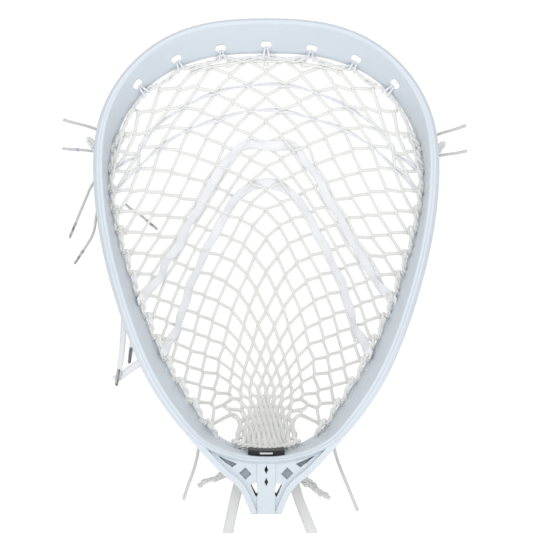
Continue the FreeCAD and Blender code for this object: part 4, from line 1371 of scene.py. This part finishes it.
def build_tails():
    for name, facts in TAILS.items():
        build_tail(name, *facts)


# ---------------------------------------------------------------- ball-stop pad

PAD_BOW = 0.105               # radius that the pad follows


def build_pad():
    """Foam slab bowed to the ring, with soft corners and a slightly crowned top."""
    low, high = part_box("ball_stop_pad")
    columns, rows, thickness = 34, 30, 0.004
    half = (high.x - low.x) / 2 - 0.0003
    pad = Mesher()
    rings = []
    floor = low.z + thickness * 0.02
    for j in range(rows + 1):
        y = low.y + 0.0003 + (high.y - low.y - 0.0006) * j / rows
        end = min(j, rows - j) / rows * (high.y - low.y)
        soft = 0.0006 * max(0.0, 1 - end / 0.0012) ** 2
        edge = half - soft * 1.4
        ring = []
        for i in range(columns + 1):
            x = edge * (2 * i / columns - 1)
            ring.append((x, y, floor + PAD_BOW - math.sqrt(PAD_BOW ** 2 - x * x) + soft))
        for i in range(columns + 1):
            x = edge * (1 - 2 * i / columns)
            crown = 0.0003 * (1 - (x / half) ** 4) * math.sin(math.pi * j / rows) - soft
            corner = 0.0007 * max(0.0, (abs(x) - edge + 0.0011) / 0.0011) ** 2
            top = floor + PAD_BOW - math.sqrt(PAD_BOW ** 2 - x * x) + thickness
            ring.append((x, y, top + crown - corner))
        rings.append(ring)
    pad.rings(np.array(rings), np.linspace(0, high.y - low.y, rows + 1))
    piece = pad.build("foam_pad", MATERIALS["pad"], ["ball_stop_pad"])
    mark = Mesher()
    front = low.y + 0.0001
    line = [(x, front, floor + PAD_BOW - math.sqrt(PAD_BOW ** 2 - x * x) + thickness * 0.5)
            for x in np.linspace(-0.0055, 0.0055, 14)]
    mark.tube(line, 0.0008, 0.00016, (0, -1, 0), 10, box=0.3)
    mark.build("pad_mark", MATERIALS["mark"])


# ---------------------------------------------------------------- stage, light and camera

FLOOR_Z = -0.20
FLOOR_RADIUS = 1.15
FRONT_GLOW = 0.95             # strength of the studio's light from in front and from behind
BACK_GLOW = 0.68


def build_stage():
    """White floor, and a world that is white to the camera and softer where it lights the head."""
    bpy.ops.mesh.primitive_circle_add(
        vertices=96, radius=FLOOR_RADIUS, fill_type="NGON", location=(0, 0, FLOOR_Z))
    floor = bpy.context.object
    floor.name = "floor"
    paper = new_material("white_paper", (0.9, 0.9, 0.9), 0.8, Emission_Strength=0.35)
    paper.node_tree.nodes["Principled BSDF"].inputs["Emission Color"].default_value = (1, 1, 1, 1)
    floor.data.materials.append(paper)
    floor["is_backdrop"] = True
    world = bpy.data.worlds.new("studio")
    bpy.context.scene.world = world
    world.use_nodes = True
    nodes, links = world.node_tree.nodes, world.node_tree.links
    shown = nodes["Background"]
    shown.inputs["Color"].default_value = (1, 1, 1, 1)
    shown.inputs["Strength"].default_value = 1.05
    lighting = nodes.new("ShaderNodeBackground")
    lighting.inputs["Color"].default_value = (0.97, 0.985, 1, 1)
    direction = nodes.new("ShaderNodeTexCoord")
    axes = nodes.new("ShaderNodeSeparateXYZ")
    glow = nodes.new("ShaderNodeMapRange")
    glow.inputs["From Min"].default_value = -1.0
    glow.inputs["From Max"].default_value = 0.15
    glow.inputs["To Min"].default_value = FRONT_GLOW
    glow.inputs["To Max"].default_value = BACK_GLOW
    links.new(direction.outputs["Generated"], axes.inputs["Vector"])
    links.new(axes.outputs["Y"], glow.inputs["Value"])
    links.new(glow.outputs["Result"], lighting.inputs["Strength"])
    ray = nodes.new("ShaderNodeLightPath")
    mix = nodes.new("ShaderNodeMixShader")
    links.new(ray.outputs["Is Camera Ray"], mix.inputs["Fac"])
    links.new(lighting.outputs[0], mix.inputs[1])
    links.new(shown.outputs[0], mix.inputs[2])
    links.new(mix.outputs[0], nodes["World Output"].inputs["Surface"])


def add_light(name, place, target, size, power):
    """Round area light aimed at a target."""
    lamp = bpy.data.lights.new(name, "AREA")
    lamp.shape = "DISK"
    lamp.size = size
    lamp.energy = power
    holder = bpy.data.objects.new(name, lamp)
    holder.location = place
    holder.rotation_euler = (Vector(target) - Vector(place)).to_track_quat("-Z", "Y").to_euler()
    bpy.context.scene.collection.objects.link(holder)


def build_lights():
    middle = (0, 0, 0.2)
    add_light("key", (-0.7, -2.3, 1.0), middle, 1.2, 14)
    add_light("fill", (1.1, -2.2, 0.3), middle, 1.4, 8)
    add_light("back", (0.2, 1.9, 1.5), middle, 1.4, 8)


LENS = 123.1                  # millimetres, as is the sensor
SENSOR = 36
CAMERA_PLACE = (0.0002, -1.62, 0.2182)


def build_camera():
    """Level camera in front of the face."""
    camera = bpy.data.cameras.new("camera")
    camera.lens = LENS
    camera.sensor_width = SENSOR
    holder = bpy.data.objects.new("camera", camera)
    holder.location = CAMERA_PLACE
    holder.rotation_euler = (math.radians(90), 0, 0)
    bpy.context.scene.collection.objects.link(holder)
    bpy.context.scene.camera = holder
    bpy.context.scene.view_settings.view_transform = "Standard"


def finish_frame():
    """Material on the moulded head."""
    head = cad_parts["head_frame"]
    head.data.materials.clear()
    head.data.materials.append(MATERIALS["frame"])


build_camera()
build_tails()
finish_frame()
build_net()
build_top_string()
build_side_strings()
build_bottom_string()
build_shooting_strings()
build_laces()
build_pad()
build_stage()
build_lights()

boxes = {"cad": CAD_BOX, "visual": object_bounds()}
{name: [list(corner) for corner in box] for name, box in boxes.items()}
